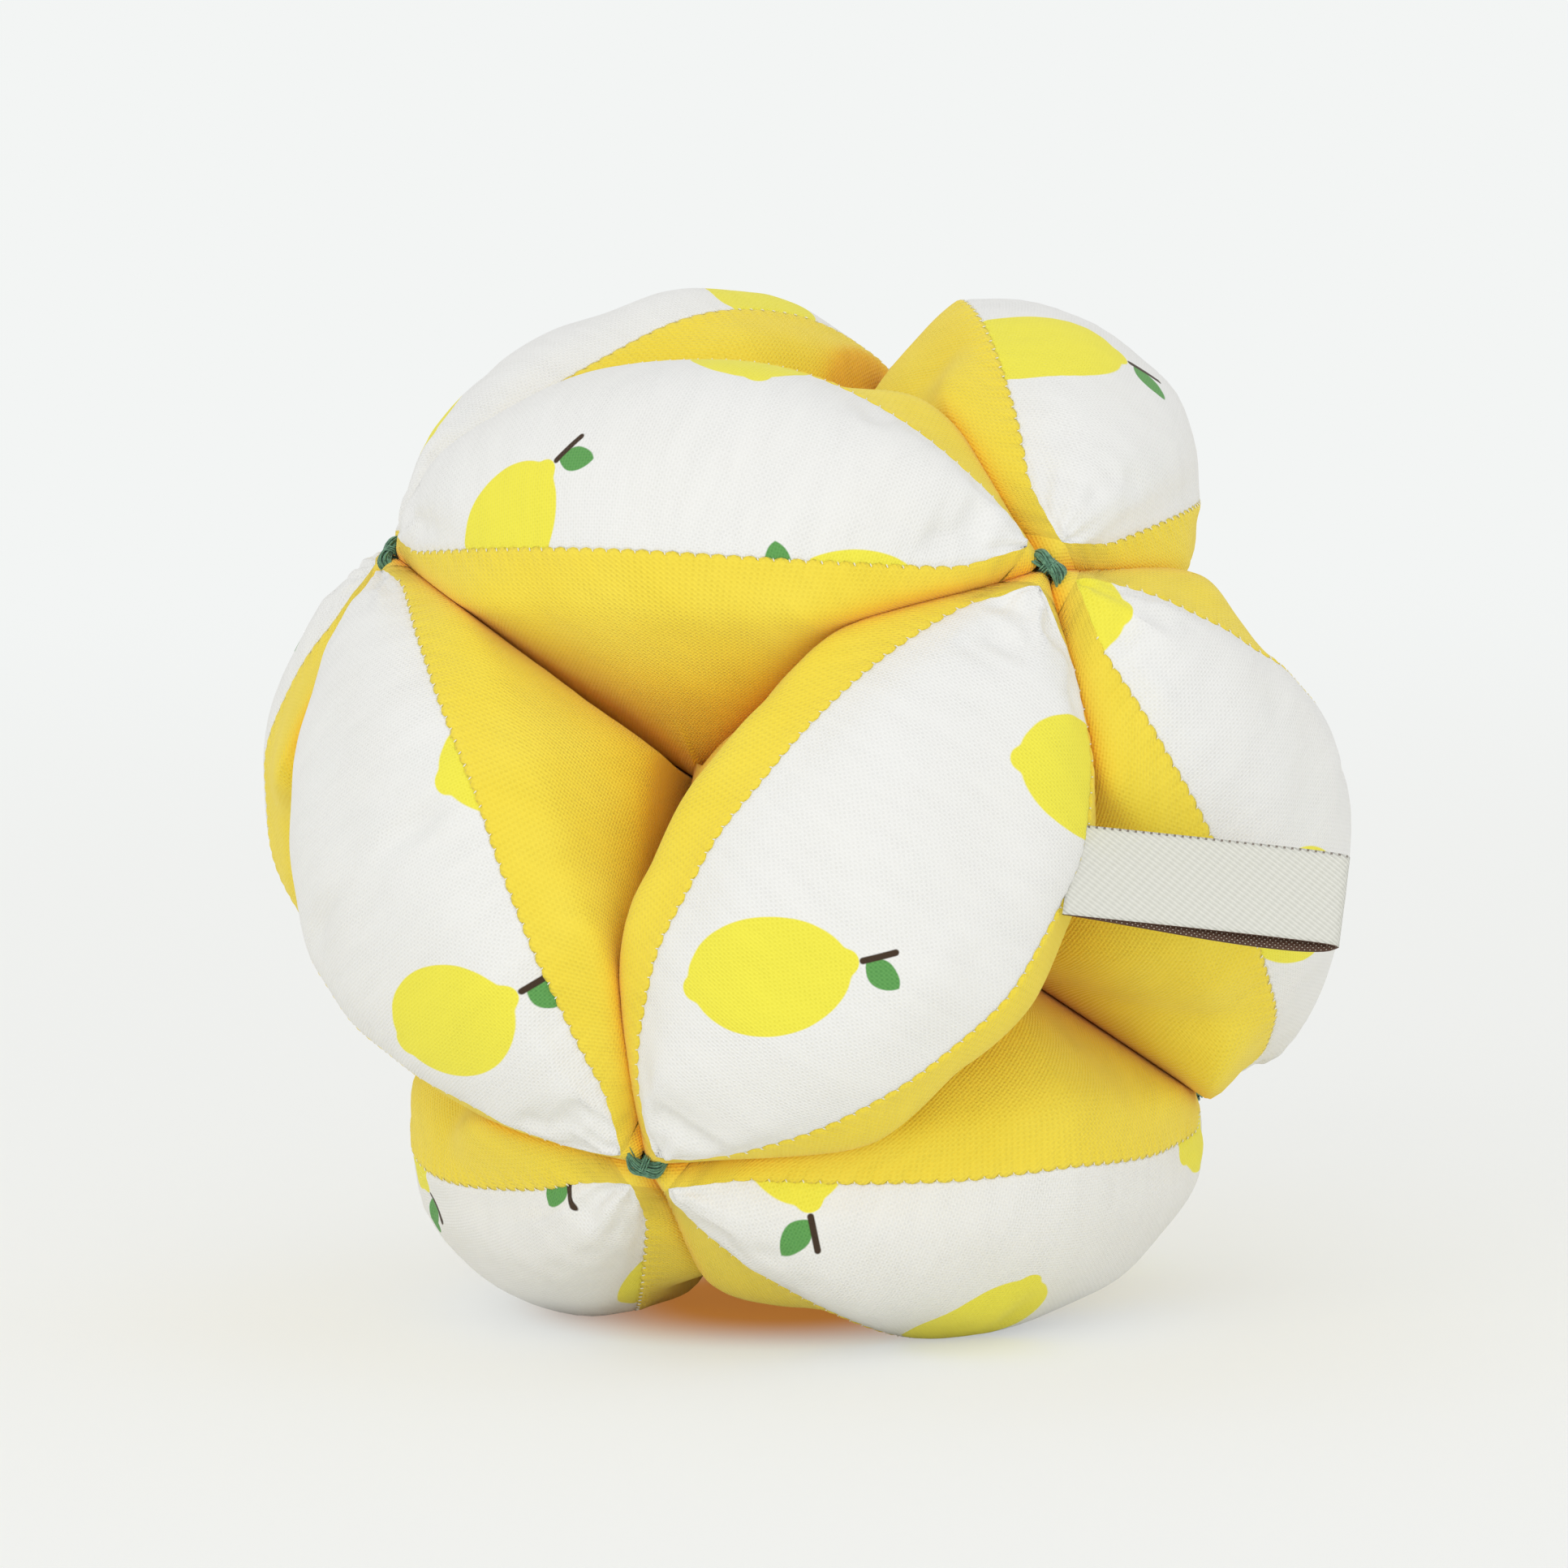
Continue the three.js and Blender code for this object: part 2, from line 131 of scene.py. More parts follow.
# lean and twist turn a wedge about its ties. lift and rise move its seams and its crown
# out. plump, side, flank and belly widen it, skew and heel move its fullness towards its
# end, and the powers say how blunt its ends are.
evenShape = {
    "lean": 0, "twist": 0, "lift": 0, "rise": 0, "plump": 1, "skew": 0, "heel": 0, "side": 0,
    "startPower": 2, "endPower": 2, "flankA": 1, "flankB": 1, "bellyA": 1, "bellyB": 1,
}
# fruit: its place along and across the cover, its turn, how far it is shifted along and
# across on the cloth, in millimetres, and its size where that isn't 1
wedges = {
    "upper_front": {
        "ends": ("left", "right"), "lean": -5.2, "twist": -1.7, "lift": -0.2, "rise": 0.8,
        "plump": 0.884, "skew": 0.029, "side": -0.092, "startPower": 2.09,
        "fruit": [(-0.33, -0.87, 48, -1.7, -0.1, 0.94), (0.57, -1.0, -175, 0, -4.9),
                  (0.09, 1.0, 112, 1.8, -0.5), (0.345, -1.0, 149, 10.9, -7.7)],
    },
    "upper_left": {
        "ends": ("left", "back"), "lean": -16, "twist": 0.4, "lift": 2.29, "rise": -0.48,
        "plump": 1.028, "skew": 0.072, "heel": 1, "side": -0.061, "startPower": 1.4,
        "fruit": [(0.2, -0.75, 50, 0, 0), (-0.6, 0.1, 51, 0.6, 7.2), (0.35, 0.6, 200, 0, 0)],
    },
    "upper_right": {
        "ends": ("right", "back"), "lean": -5.3, "twist": -1, "lift": 0.17, "rise": 1.93,
        "plump": 1.059, "side": 0.102, "startPower": 1.67, "endPower": 1.4, "flankA": 0.86,
        "bellyA": 1.02, "bellyB": 1.11,
        "fruit": [(-0.37, 0.57, -82, 1.2, 2.7, 1.08), (0.38, -0.35, 40, 0, 0)],
    },
    "front": {
        "ends": ("right", "front"), "lean": -7, "twist": -9.9, "lift": -3.14, "plump": 1.059,
        "skew": 0.112, "heel": -1, "side": 0.2, "startPower": 2.75, "endPower": 1.76,
        "flankA": 0.92, "flankB": 1.1, "bellyA": 1.25, "bellyB": 0.7,
        "fruit": [(0.29, -0.17, 134, 0.7, 1.6, 0.98), (-0.57, 0.9, 90, 0, -0.3)],
    },
    "front_left": {
        "ends": ("left", "front"), "lean": -0.3, "twist": -1.6, "lift": -1.94, "rise": -0.66,
        "plump": 1.162, "skew": -0.023, "heel": -0.06, "side": -0.046, "startPower": 1.78,
        "endPower": 1.55,
        "fruit": [(-0.03, 1.0, 82, -0.2, 6.6, 1.08), (0.43, 0.07, 73, 0.1, -0.7)],
    },
    "front_right": {
        "ends": ("right", "lower_right"), "lean": -0.4, "twist": 10.2, "lift": 1.28,
        "rise": -1.18, "plump": 0.971, "side": 0.04, "skew": 0.014, "startPower": 1.41,
        "endPower": 1.76,
        "fruit": [(-0.88, -1.0, -130, -4.3, -3.1), (0.1, -0.5, 223, -2.9, -0.5),
                  (0.55, 0.6, 30, 0, 0)],
    },
    "rear_left": {
        "ends": ("left", "lower_left"), "lean": -13.7, "twist": 5.7, "lift": 0.23,
        "rise": -1.6, "plump": 0.965, "skew": -0.042, "startPower": 2.08, "endPower": 2.02,
        "fruit": [(0.3, -0.5, 60, 0, 0), (-0.4, -0.2, 150, 0, 0)],
    },
    "rear_right": {
        "ends": ("back", "lower_right"), "lean": 1.5, "twist": 2, "lift": 0.2, "rise": -0.4,
        "plump": 0.98, "startPower": 1.9, "endPower": 1.9,
        "fruit": [(-0.35, 0.3, 25, 0, 0), (0.4, -0.4, 160, 0, 0)],
    },
    "rear": {
        "ends": ("back", "lower_left"), "lean": -2, "twist": -2, "lift": -0.4, "rise": 0.3,
        "plump": 1.02, "startPower": 1.9, "endPower": 1.8,
        "fruit": [(0.25, 0.25, 200, 0, 0), (-0.55, -0.6, 80, 0, 0)],
    },
    "under_right": {
        "ends": ("front", "lower_right"), "lean": 8.7, "twist": -0.5, "lift": 0.64,
        "rise": -0.06, "plump": 0.939, "skew": 0.019, "heel": 0.16, "side": 0.136,
        "startPower": 1.58, "endPower": 1.4,
        "fruit": [(-0.64, 0.8, -74, -3.5, 8.0), (-0.07, 0.0, -109, -0.8, -4.1),
                  (0.57, 1.0, 20, 5.6, 2.3)],
    },
    "under_left": {
        "ends": ("front", "lower_left"), "lean": -2.3, "twist": -7.3, "lift": -1.48,
        "rise": 0.4, "plump": 0.951, "skew": 0.081, "heel": 0.2, "side": 0.026,
        "startPower": 1.4, "endPower": 1.97,
        "fruit": [(-0.8, -0.8, 75, -2.4, -11.9), (-0.1, -0.7, 130, 5.6, -9.2),
                  (-0.4, 0.9, 160, -4.7, 5.2)],
    },
    "under_rear": {
        "ends": ("lower_right", "lower_left"), "lean": 1, "twist": 1.5, "lift": -1.3,
        "rise": 0.6, "plump": 0.97, "startPower": 1.7, "endPower": 1.7,
        "fruit": [(0.2, 0.4, 120, 0, 0), (-0.5, -0.4, 15, 0, 0)],
    },
}

# Where one wedge presses its neighbour's side in, half way down their crease
creases = {("upper_front", "front_left"): 2.4 * mm, ("front", "front_left"): 2.4 * mm}


def mix(low, high, share):
    return low + (high - low) * share


def smooth(share):
    share = np.clip(share, 0, 1)
    return share * share * (3 - 2 * share)


def softLess(value, limit, blend):
    share = np.clip(0.5 + 0.5 * (limit - value) / blend, 0, 1)
    return limit * (1 - share) + value * share - blend * share * (1 - share)


def lengthOf(vectors):
    return np.linalg.norm(vectors, axis=-1)


def unit(vectors):
    return vectors / np.maximum(lengthOf(vectors)[..., None], 1e-12)


def curve(points, share):
    # a cubic curve for each row: points are four (rows, 2) arrays, share (rows, columns)
    t = share[..., None]
    a, b, c, d = (np.asarray(p)[:, None, :] for p in points)
    return a * (1 - t) ** 3 + 3 * b * t * (1 - t) ** 2 + 3 * c * t * t * (1 - t) + d * t ** 3


def pair(first, second):
    return np.stack([first, second], 1)


def sectionCurves(shape, u, hand):
    # the half section at each place along: cover, edge and inner side, as (radius, across)
    full = 1 - u ** 2
    power = np.where(u < 0, shape["startPower"], shape["endPower"])
    wide = (1 - np.abs(u) ** power) * (1 + shape["skew"] * u)
    swell = shape["lift"] * mm * full ** ball["riseTaper"] * (1 + shape["heel"] * u)
    coverSpan = ball["coverWidth"] * shape["plump"] * (1 + hand * shape["side"])
    flankSpan = coverSpan * ball["wedgeWidth"] / ball["coverWidth"]
    flankSpan *= shape["flankA"] if hand > 0 else shape["flankB"]
    seamOut = mix(ball["tieRadius"], ball["seamRadius"], full) + swell
    seamAcross = mix(ball["tipWidth"], coverSpan, wide) / 2
    fullRise = ball["crownRadius"] - ball["seamRadius"] + shape["rise"] * mm
    crownOut = seamOut + mix(ball["tipRise"], fullRise, full ** ball["riseTaper"])
    flat = np.zeros(len(u))
    foldOut = ball["foldRadius"] / np.sqrt(np.cos(2 * tipAngle * u))
    foldOut = np.minimum(foldOut, ball["tieRadius"] - ball["tipDepth"])
    bulge = (ball["seamRadius"] - ball["flankRadius"]) * full ** ball["bulgeTaper"]
    bulge = bulge * (shape["bellyA"] if hand > 0 else shape["bellyB"])
    flankLeast = mix(foldOut, seamOut, ball["flankShare"])
    flankOut = np.maximum(seamOut - bulge - ball["tipDepth"] / 4, flankLeast)
    flankAcross = mix(ball["tipWidth"], flankSpan, wide) / 2
    seam, crown = pair(seamOut, seamAcross), pair(crownOut, flat)
    flank, fold = pair(flankOut, flankAcross), pair(foldOut, flat)
    reach = ball["curveReach"] * lengthOf(crown - seam)
    up, over = ball["coverSlope"]
    cover = (crown, pair(crownOut, reach),
             pair(seamOut + up * reach, seamAcross - over * reach), seam)
    reach = ball["curveReach"] * lengthOf(flank - seam)
    down, over = ball["edgeSlope"]
    edge = (seam, pair(seamOut - down * reach, seamAcross + over * reach),
            pair(flankOut + reach, flankAcross), flank)
    inner = (flank, pair((flankOut + foldOut) / 2, flankAcross),
             pair(foldOut, ball["innerFullness"] * flankAcross), fold)
    return cover, edge, inner


def wedgeAxes(name):
    first, second = (ties[end] for end in wedges[name]["ends"])
    out = (first + second) / math.sqrt(2)
    along = (second - first) / math.sqrt(2)
    return np.array([out, along, np.cross(out, along)])


def pressOf(name, end, hand):
    # how far this wedge presses its neighbour at one end and side, or is pressed
    beside = wedgeAxes(name)[2] * hand
    tie = max(ties, key=lambda key: ties[key] @ beside)
    for (strong, weak), depth in creases.items():
        ends = {end, tie}
        if name == strong and ends == set(wedges[weak]["ends"]):
            return depth
        if name == weak and ends == set(wedges[strong]["ends"]):
            return -depth
    return 0.0


def gathered(x, y, z):
    # the tips are drawn in under their ties
    line = ball["tieRadius"] / math.sqrt(2)
    tieY = np.where(y < 0, -line, line)
    gap = np.sqrt((x - line) ** 2 + (y - tieY) ** 2 + z ** 2)
    share = smooth((gap - ball["gatherTo"]) / (ball["gatherFrom"] - ball["gatherTo"]))
    share = mix(ball["gatherShare"], 1, share)
    return line + (x - line) * share, tieY + (y - tieY) * share, z * share


def cutForm(name, u, v):
    # a wedge's form as cut and sewn, in its own axes: u runs -1 to 1 from tie to tie, v is
    # 0 at the crown, 1 at the seam, 1.3 past the rolled edge and 3 at the inner fold, with
    # the side's sign
    shape = {**evenShape, **wedges[name]}
    share = np.abs(v)
    flat = np.zeros(v.shape + (2,))
    for hand in (-1, 1):
        cover, edge, inner = sectionCurves(shape, u, hand)
        spot = curve(cover, np.clip(share, 0, 1))
        beyond = curve(edge, np.clip((share - 1) / 0.3, 0, 1))
        spot = np.where((share > 1)[..., None], beyond, spot)
        beyond = curve(inner, np.clip((share - 1.3) / 1.7, 0, 1))
        spot = np.where((share > 1.3)[..., None], beyond, spot)
        chosen = (v >= 0) if hand > 0 else (v < 0)
        flat = np.where(chosen[..., None], spot, flat)
    turn = (tipAngle * u)[:, None]
    line = ball["tieRadius"] / math.sqrt(2)
    x = flat[..., 0] * np.cos(turn) - line
    y = flat[..., 0] * np.sin(turn)
    z = flat[..., 1] * np.where(v >= 0, 1, -1)
    rise = (flat[..., 0] - ball["foldRadius"]) / (ball["flankRadius"] - ball["foldRadius"])
    held = 1 - np.abs(u) ** ball["tipHold"]
    lean = (np.radians(-shape["lean"] - shape["twist"] * u) * held)[:, None]
    lean = lean * smooth(rise)
    x, z = x * np.cos(lean) + z * np.sin(lean), z * np.cos(lean) - x * np.sin(lean)
    return np.stack([x + line, y, z], -1)


def spotsOf(mesh):
    spots = np.empty(len(mesh.vertices) * 3)
    mesh.vertices.foreach_get("co", spots)
    return spots.reshape(-1, 3)


def cornersOf(mesh):
    corners = np.empty(len(mesh.loops), dtype=int)
    mesh.loops.foreach_get("vertex_index", corners)
    return corners


def addPiece(name, bm, *materials):
    mesh = bpy.data.meshes.new(name)
    bm.to_mesh(mesh)
    bm.free()
    mesh.shade_smooth()
    for material in materials:
        mesh.materials.append(material)
    piece = bpy.data.objects.new(name, mesh)
    bpy.context.collection.objects.link(piece)
    return piece


# How the stuffing swells the cloth: a grid of points for each wedge, the cloth's slack, how
# far a point may move, how much of the broad movement stays, averaged over reach points,
# what is held, and where on the cover the movement fades out
swelling = {
    "along": 33,
    "around": 41,
    "pressure": 4.0,
    "slack": 0.03,
    "frames": 20,
    "cap": 1.5 * mm,
    "broad": 0.1,
    "reach": 5,
    "heldTips": 0.93,
    "heldFold": 2.3,
    "quality": 6,
    "mass": 0.2,
    "fadeFrom": 0.55,
    "fadeOver": 0.4,
}
swells = {}


def addSwellingCloth(name):
    # a coarse cloth in the wedge's form, held at both tips and along the inner fold
    u = np.linspace(-1, 1, swelling["along"])
    v = np.linspace(-3, 3, swelling["around"])
    form = cutForm(name, u, np.broadcast_to(v, (len(u), len(v))))
    bm = bmesh.new()
    bmesh.ops.create_grid(bm, x_segments=len(v) - 1, y_segments=len(u) - 1, size=1.0)
    held = []
    order = np.empty((len(u), len(v)), dtype=int)
    for index, vert in enumerate(bm.verts):
        column = round((vert.co.x + 1) / 2 * (len(v) - 1))
        row = round((vert.co.y + 1) / 2 * (len(u) - 1))
        vert.co = Vector(form[row, column])
        order[row, column] = index
        if abs(u[row]) > swelling["heldTips"] or abs(v[column]) > swelling["heldFold"]:
            held.append(index)
    bm.normal_update()
    outmost = max(bm.faces, key=lambda face: face.calc_center_median().x)
    if outmost.normal.x < 0:
        bmesh.ops.reverse_faces(bm, faces=bm.faces)
    piece = addPiece(f"{name}_swelling", bm)
    piece.vertex_groups.new(name="held").add(held, 1.0, "REPLACE")
    cloth = piece.modifiers.new("stuffed", "CLOTH")
    cloth.settings.quality = swelling["quality"]
    cloth.settings.mass = swelling["mass"]
    cloth.settings.use_pressure = True
    cloth.settings.uniform_pressure_force = swelling["pressure"]
    cloth.settings.shrink_min = -swelling["slack"]
    cloth.settings.vertex_group_mass = "held"
    cloth.settings.effector_weights.gravity = 0.0
    cloth.collision_settings.use_collision = False
    cloth.collision_settings.use_self_collision = False
    cloth.point_cache.frame_start = 1
    cloth.point_cache.frame_end = swelling["frames"]
    return piece, order, form


def spread(field):
    # a field averaged over its neighbours, along and around
    reach = swelling["reach"]
    weights = np.hanning(2 * reach + 3)[1:-1]
    weights /= weights.sum()
    for axis in (0, 1):
        margin = [(0, 0)] * 3
        margin[axis] = (reach, reach)
        padded = np.moveaxis(np.pad(field, margin, mode="edge"), axis, 0)
        count = field.shape[axis]
        rows = [weight * padded[step : step + count] for step, weight in enumerate(weights)]
        field = np.moveaxis(sum(rows), 0, axis)
    return field


def swellWedges():
    # stuffing pressure moves the cloth: how far, in each wedge's own axes
    pieces = {name: addSwellingCloth(name) for name in wedges}
    scene = bpy.context.scene
    for frameNumber in range(1, swelling["frames"] + 1):
        scene.frame_set(frameNumber)
    seen = bpy.context.evaluated_depsgraph_get()
    for name, (piece, order, form) in pieces.items():
        moved = piece.evaluated_get(seen)
        swelled = moved.to_mesh()
        shift = spotsOf(swelled)[order] - form
        moved.to_mesh_clear()
        far = lengthOf(shift)[..., None]
        shift *= np.minimum(1, swelling["cap"] / np.maximum(far, 1e-9))
        # the form was fitted already: the broad part of the movement stays small
        shift -= (1 - swelling["broad"]) * spread(shift)
        swells[name] = shift
    for piece, _, _ in pieces.values():
        mesh = piece.data
        bpy.data.objects.remove(piece)
        bpy.data.meshes.remove(mesh)
    scene.frame_set(1)


def swellAt(name, u, v):
    # the movement between the points of the coarse cloth
    field = swells[name]
    row = (np.clip(u, -1, 1) + 1) / 2 * (swelling["along"] - 1)
    column = (np.clip(v, -3, 3) + 3) / 6 * (swelling["around"] - 1)
    low = np.minimum(row.astype(int), swelling["along"] - 2)
    left = np.minimum(column.astype(int), swelling["around"] - 2)
    down = smooth(row - low)[:, None, None]
    over = (column - left)[..., None]
    low = np.broadcast_to(low[:, None], left.shape)
    near = mix(field[low, left], field[low, left + 1], over)
    far = mix(field[low + 1, left], field[low + 1, left + 1], over)
    return mix(near, far, down)


def skin(name, u, v):
    # points on a wedge's cloth, as stuffed and tied between its neighbours
    shape = {**evenShape, **wedges[name]}
    v = np.broadcast_to(v, (len(u), np.shape(v)[-1]))
    share = np.abs(v)
    form = cutForm(name, u, v)
    if name in swells:
        # only the covers keep the movement: the sides look smooth
        fade = smooth((share - swelling["fadeFrom"]) / swelling["fadeOver"])
        form = form + swellAt(name, u, v) * (1 - fade)[..., None]
    x, y, z = form[..., 0], form[..., 1], form[..., 2]
    # neighbours hold the side panels back, and press them in where they are fuller
    radius = np.sqrt(x * x + y * y + z * z) / ball["tieRadius"]
    dent = np.clip(4 * radius * (1 - radius), 0, 1) ** 2
    near = (np.abs(u)[:, None] - ball["closeFrom"]) / (ball["closeTo"] - ball["closeFrom"])
    deep = (ball["pitTop"] - radius * ball["tieRadius"]) / (ball["pitTop"] - ball["pitFloor"])
    near = 1 - (1 - smooth(near)) * (1 - smooth(deep))
    fillEnd, fillOver = ball["fillEnd"]
    near = near * smooth((share - 1) / ball["fillStart"]) * smooth((fillEnd - share) / fillOver)
    first, second = shape["ends"]
    for hand in (-1, 1):
        reach = (x - np.abs(y)) / math.sqrt(2) - ball["contactGap"]
        press = np.where(y < 0, pressOf(name, first, hand), pressOf(name, second, hand))
        reach = np.maximum(reach + press * dent, 0)
        # towards the ties and down in the pits the sides swell until they meet
        filled = mix(hand * z, np.maximum(hand * z, reach + ball["fillPast"]), near)
        z = np.where(v * hand > 0, hand * filled, z)
        z = hand * softLess(hand * z, reach, ball["contactRound"])
    placed = np.stack(gathered(x, y, z), -1) @ wedgeAxes(name) + middle
    # the floor presses the lowest wedges flat
    placed[..., 2] = -softLess(-placed[..., 2], 0.0, ball["floorRound"])
    return placed


swellWedges()
print("wedges swelled")


# Cloth panels, from the wedge's skin

seams = {
    "stitch": 1.72 * mm,
    "steps": 4,
    "groove": 0.16 * mm,
    "grooveWidth": 0.35 * mm,
    "roll": 0.2 * mm,
    "scallop": 0.28 * mm,
    "tip": 0.96,
    "narrowFrom": 0.8,
    "cloth": 0.35 * mm,
    "calmWidth": 0.8 * mm,
    "rollWidth": 0.6 * mm,
    "scallopWidth": 0.9 * mm,
    "freeFrom": 2 * mm,
    "calmInner": (2.4, 0.6),
    "calmTips": 0.2,
}
# where the rows of points lie, from crown to seam and from seam to inner fold
coverShares = [0, 0.1, 0.2, 0.3, 0.4, 0.5, 0.6, 0.7, 0.78, 0.85, 0.9, 0.94, 0.97, 0.985, 1.0]
sideShares = [0, 0.007, 0.015, 0.03, 0.045, 0.06, 0.08, 0.1, 0.12, 0.145, 0.17, 0.2, 0.23,
              0.26, 0.29, 0.32, 0.35, 0.38, 0.41, 0.44, 0.48, 0.52, 0.56, 0.61, 0.67, 0.74,
              0.82, 0.9, 1.0]
# gathers that run out of the tips: how many, how long, deep and wide
gathers = {
    "cover": {"count": 6, "places": (-0.8, 0.8), "long": (5, 13), "deep": (0.4, 0.9)},
    "side": {"count": 4, "places": (1.1, 1.7), "long": (4, 10), "deep": (0.15, 0.35)},
    "wide": (0.4, 0.75),
}
lumps = {"height": 0.1 * mm, "short": 9 * mm, "long": 24 * mm, "waves": 7}


def seamShare(u):
    # where the seam lies on the section: the cover ends in a rounded point
    fall = (np.abs(u) - seams["narrowFrom"]) / (seams["tip"] - seams["narrowFrom"])
    return np.sqrt(1 - np.clip(fall, 0, 1) ** 2)


def stitchCount(name):
    # stitches counted along the seam, the same on both sides of a wedge
    u = np.linspace(-seams["tip"], seams["tip"], 400)
    points = skin(name, u, np.array([[1.0, -1.0]]))
    length = lengthOf(np.diff(points, axis=0)).sum(axis=0).mean()
    return round(length / seams["stitch"])


def stationsOf(name):
    count = stitchCount(name) * seams["steps"]
    stations = np.linspace(-seams["tip"], seams["tip"], count + 1)
    phase = np.arange(count + 1) / seams["steps"]
    beyond = np.linspace(seams["tip"], 1.0, 4)[1:]
    u = np.concatenate([-beyond[::-1], stations, beyond])
    return u, np.concatenate([np.zeros(3), phase, np.full(3, phase[-1])])


def normalsOf(points):
    return unit(np.cross(np.gradient(points, axis=0), np.gradient(points, axis=1)))


def coreOf(name, u):
    axes = wedgeAxes(name)
    turn = tipAngle * u
    line = ball["tieRadius"] * (0.66 + 0.3 * u ** 6)
    return middle + np.outer(line * np.cos(turn), axes[0]) + np.outer(line * np.sin(turn), axes[1])


def unevenness(name, points):
    # fibre filling is never quite even
    dice = np.random.RandomState(sum(map(ord, name)))
    height = np.zeros(points.shape[:2])
    for _ in range(lumps["waves"]):
        way = unit(dice.normal(size=3))
        wave = dice.uniform(lumps["short"], lumps["long"])
        height += np.sin(points @ way * 2 * math.pi / wave + dice.uniform(0, 6.3))
    return height * lumps["height"]


def gatherDepth(name, kind, hand, u, v, run):
    # creases in the cloth that run out from under a tie
    height = np.zeros(v.shape)
    plan = gathers[kind]
    for end in (-1, 1):
        dice = random.Random(f"{name} {kind} {hand} {end}")
        for index in range(plan["count"]):
            low, high = plan["places"]
            place = low + (high - low) * (index + dice.uniform(0.2, 0.8)) / plan["count"]
            long = dice.uniform(*plan["long"]) * mm / (tipAngle * ball["tieRadius"])
            deep = dice.uniform(*plan["deep"]) * mm
            wide = dice.uniform(*gathers["wide"]) * mm
            slant = dice.uniform(-0.15, 0.15) * abs(place)
            ahead = (1 - end * u) / long
            rows = np.nonzero((ahead < 1) & (end * u > 0))[0]
            for row in rows:
                line = (place + slant * ahead[row]) * (1 if kind == "cover" else hand)
                order = 1 if v[row, -1] > v[row, 0] else -1
                at = np.interp(line, v[row, ::order], run[row, ::order])
                gap = (run[row] - at) / (wide * (1 + ahead[row]))
                fall = (1 - ahead[row]) ** 1.3
                ridge = 0.5 * np.exp(-(np.abs(gap) - 1.7) ** 2 * 1.5)
                height[row] += deep * fall * (ridge - np.exp(-gap ** 2))
    return height


def contactRoom(name, points):
    # how far the cloth lies from the plane in which it meets its neighbour
    near = (points - middle) @ wedgeAxes(name).T
    reach = (near[..., 0] - np.abs(near[..., 1])) / math.sqrt(2)
    return np.maximum(reach - np.abs(near[..., 2]), 0)


def panelGrid(name, kind, u, phase, v, hands):
    # points of a panel, with gathers, seams drawn in and edges scalloped by the stitches
    points = skin(name, u, v)
    away = unit(points - coreOf(name, u)[:, None, :])
    normal = normalsOf(points)
    outward = np.sign(np.sum(normal * away, axis=-1).mean())
    normal = normal * outward
    crown = skin(name, u, np.zeros((1, 1)))[:, 0]
    step = lengthOf(np.diff(points, axis=1))
    run = np.concatenate([np.zeros((len(u), 1)), np.cumsum(step, axis=1)], axis=1)
    calmEnd, calmOver = seams["calmInner"]
    inside = np.clip((calmEnd - np.abs(v)) / calmOver, 0, 1)
    free = 1.0
    if kind == "side":
        free = smooth(contactRoom(name, points) / seams["freeFrom"])
    loose = unevenness(name, points) * (1 - u ** 4)[:, None] * inside * free
    moved = points + away * loose[..., None]
    wave = np.abs(np.sin(math.pi * phase))[:, None]
    fade = np.clip((seams["tip"] - np.abs(u)) / seams["calmTips"], 0, 1)[:, None]
    calm = np.ones(v.shape)
    for hand in hands:
        column = 0 if kind == "side" or hand < 0 else v.shape[1] - 1
        gap = np.abs(run - run[:, [column]])
        calm = calm * np.clip(gap / seams["calmWidth"], 0, 1)
        dip = -seams["groove"] * np.exp(-(gap / seams["grooveWidth"]) ** 2)
        moved += away * (dip * fade)[..., None]
        if kind == "side":
            swell = gap / seams["rollWidth"] * np.exp(1 - gap / seams["rollWidth"])
            moved += normal * (seams["roll"] * wave * swell * fade)[..., None]
        tangent = np.gradient(points[:, column], axis=0)
        towardsCrown = unit(np.cross(tangent, away[:, column]))
        towardsCrown *= np.sign(np.sum(towardsCrown * (crown - points[:, column]), axis=1))[:, None]
        pull = seams["scallop"] * (wave - 0.3) * np.exp(-gap / seams["scallopWidth"]) * fade
        moved += towardsCrown[:, None, :] * pull[..., None]
    depth = gatherDepth(name, kind, hands[0], u, v, run) * calm * free
    moved += normal * depth[..., None]
    moved[..., 2] = np.maximum(moved[..., 2], 0.02 * mm)
    return moved, run, outward


# how wide and how strong the painted warm shade is in creases, down in the pits and by the ties
paintedCreaseShading = {
    "crease": (0.9 * mm, 0.8),
    "pit": (50 * mm, 16 * mm, 0.4),
    "valley": (1.6 * mm, 0.6),
    "tie": (8 * mm, 6 * mm),
}


def paintedCreaseShade(name, points):
    # 1 in the creases between wedges, where light is warmest: painted warm shade and bounce light
    # in the cloth's colour
    room = contactRoom(name, points)
    wide, strong = paintedCreaseShading["crease"]
    shade = strong * np.exp(-room / wide)
    start, over, strong = paintedCreaseShading["pit"]
    radius = lengthOf(points - middle)
    shade = shade + strong * smooth((start - radius) / over)
    tie = np.min([lengthOf(points - middle - ties[end] * ball["tieRadius"])
                  for end in wedges[name]["ends"]], axis=0)
    start, over = paintedCreaseShading["tie"]
    wide, strong = paintedCreaseShading["valley"]
    shade = shade + strong * (np.exp(-room / wide) * smooth((start - tie) / over))
    return np.clip(shade, 0, 1)


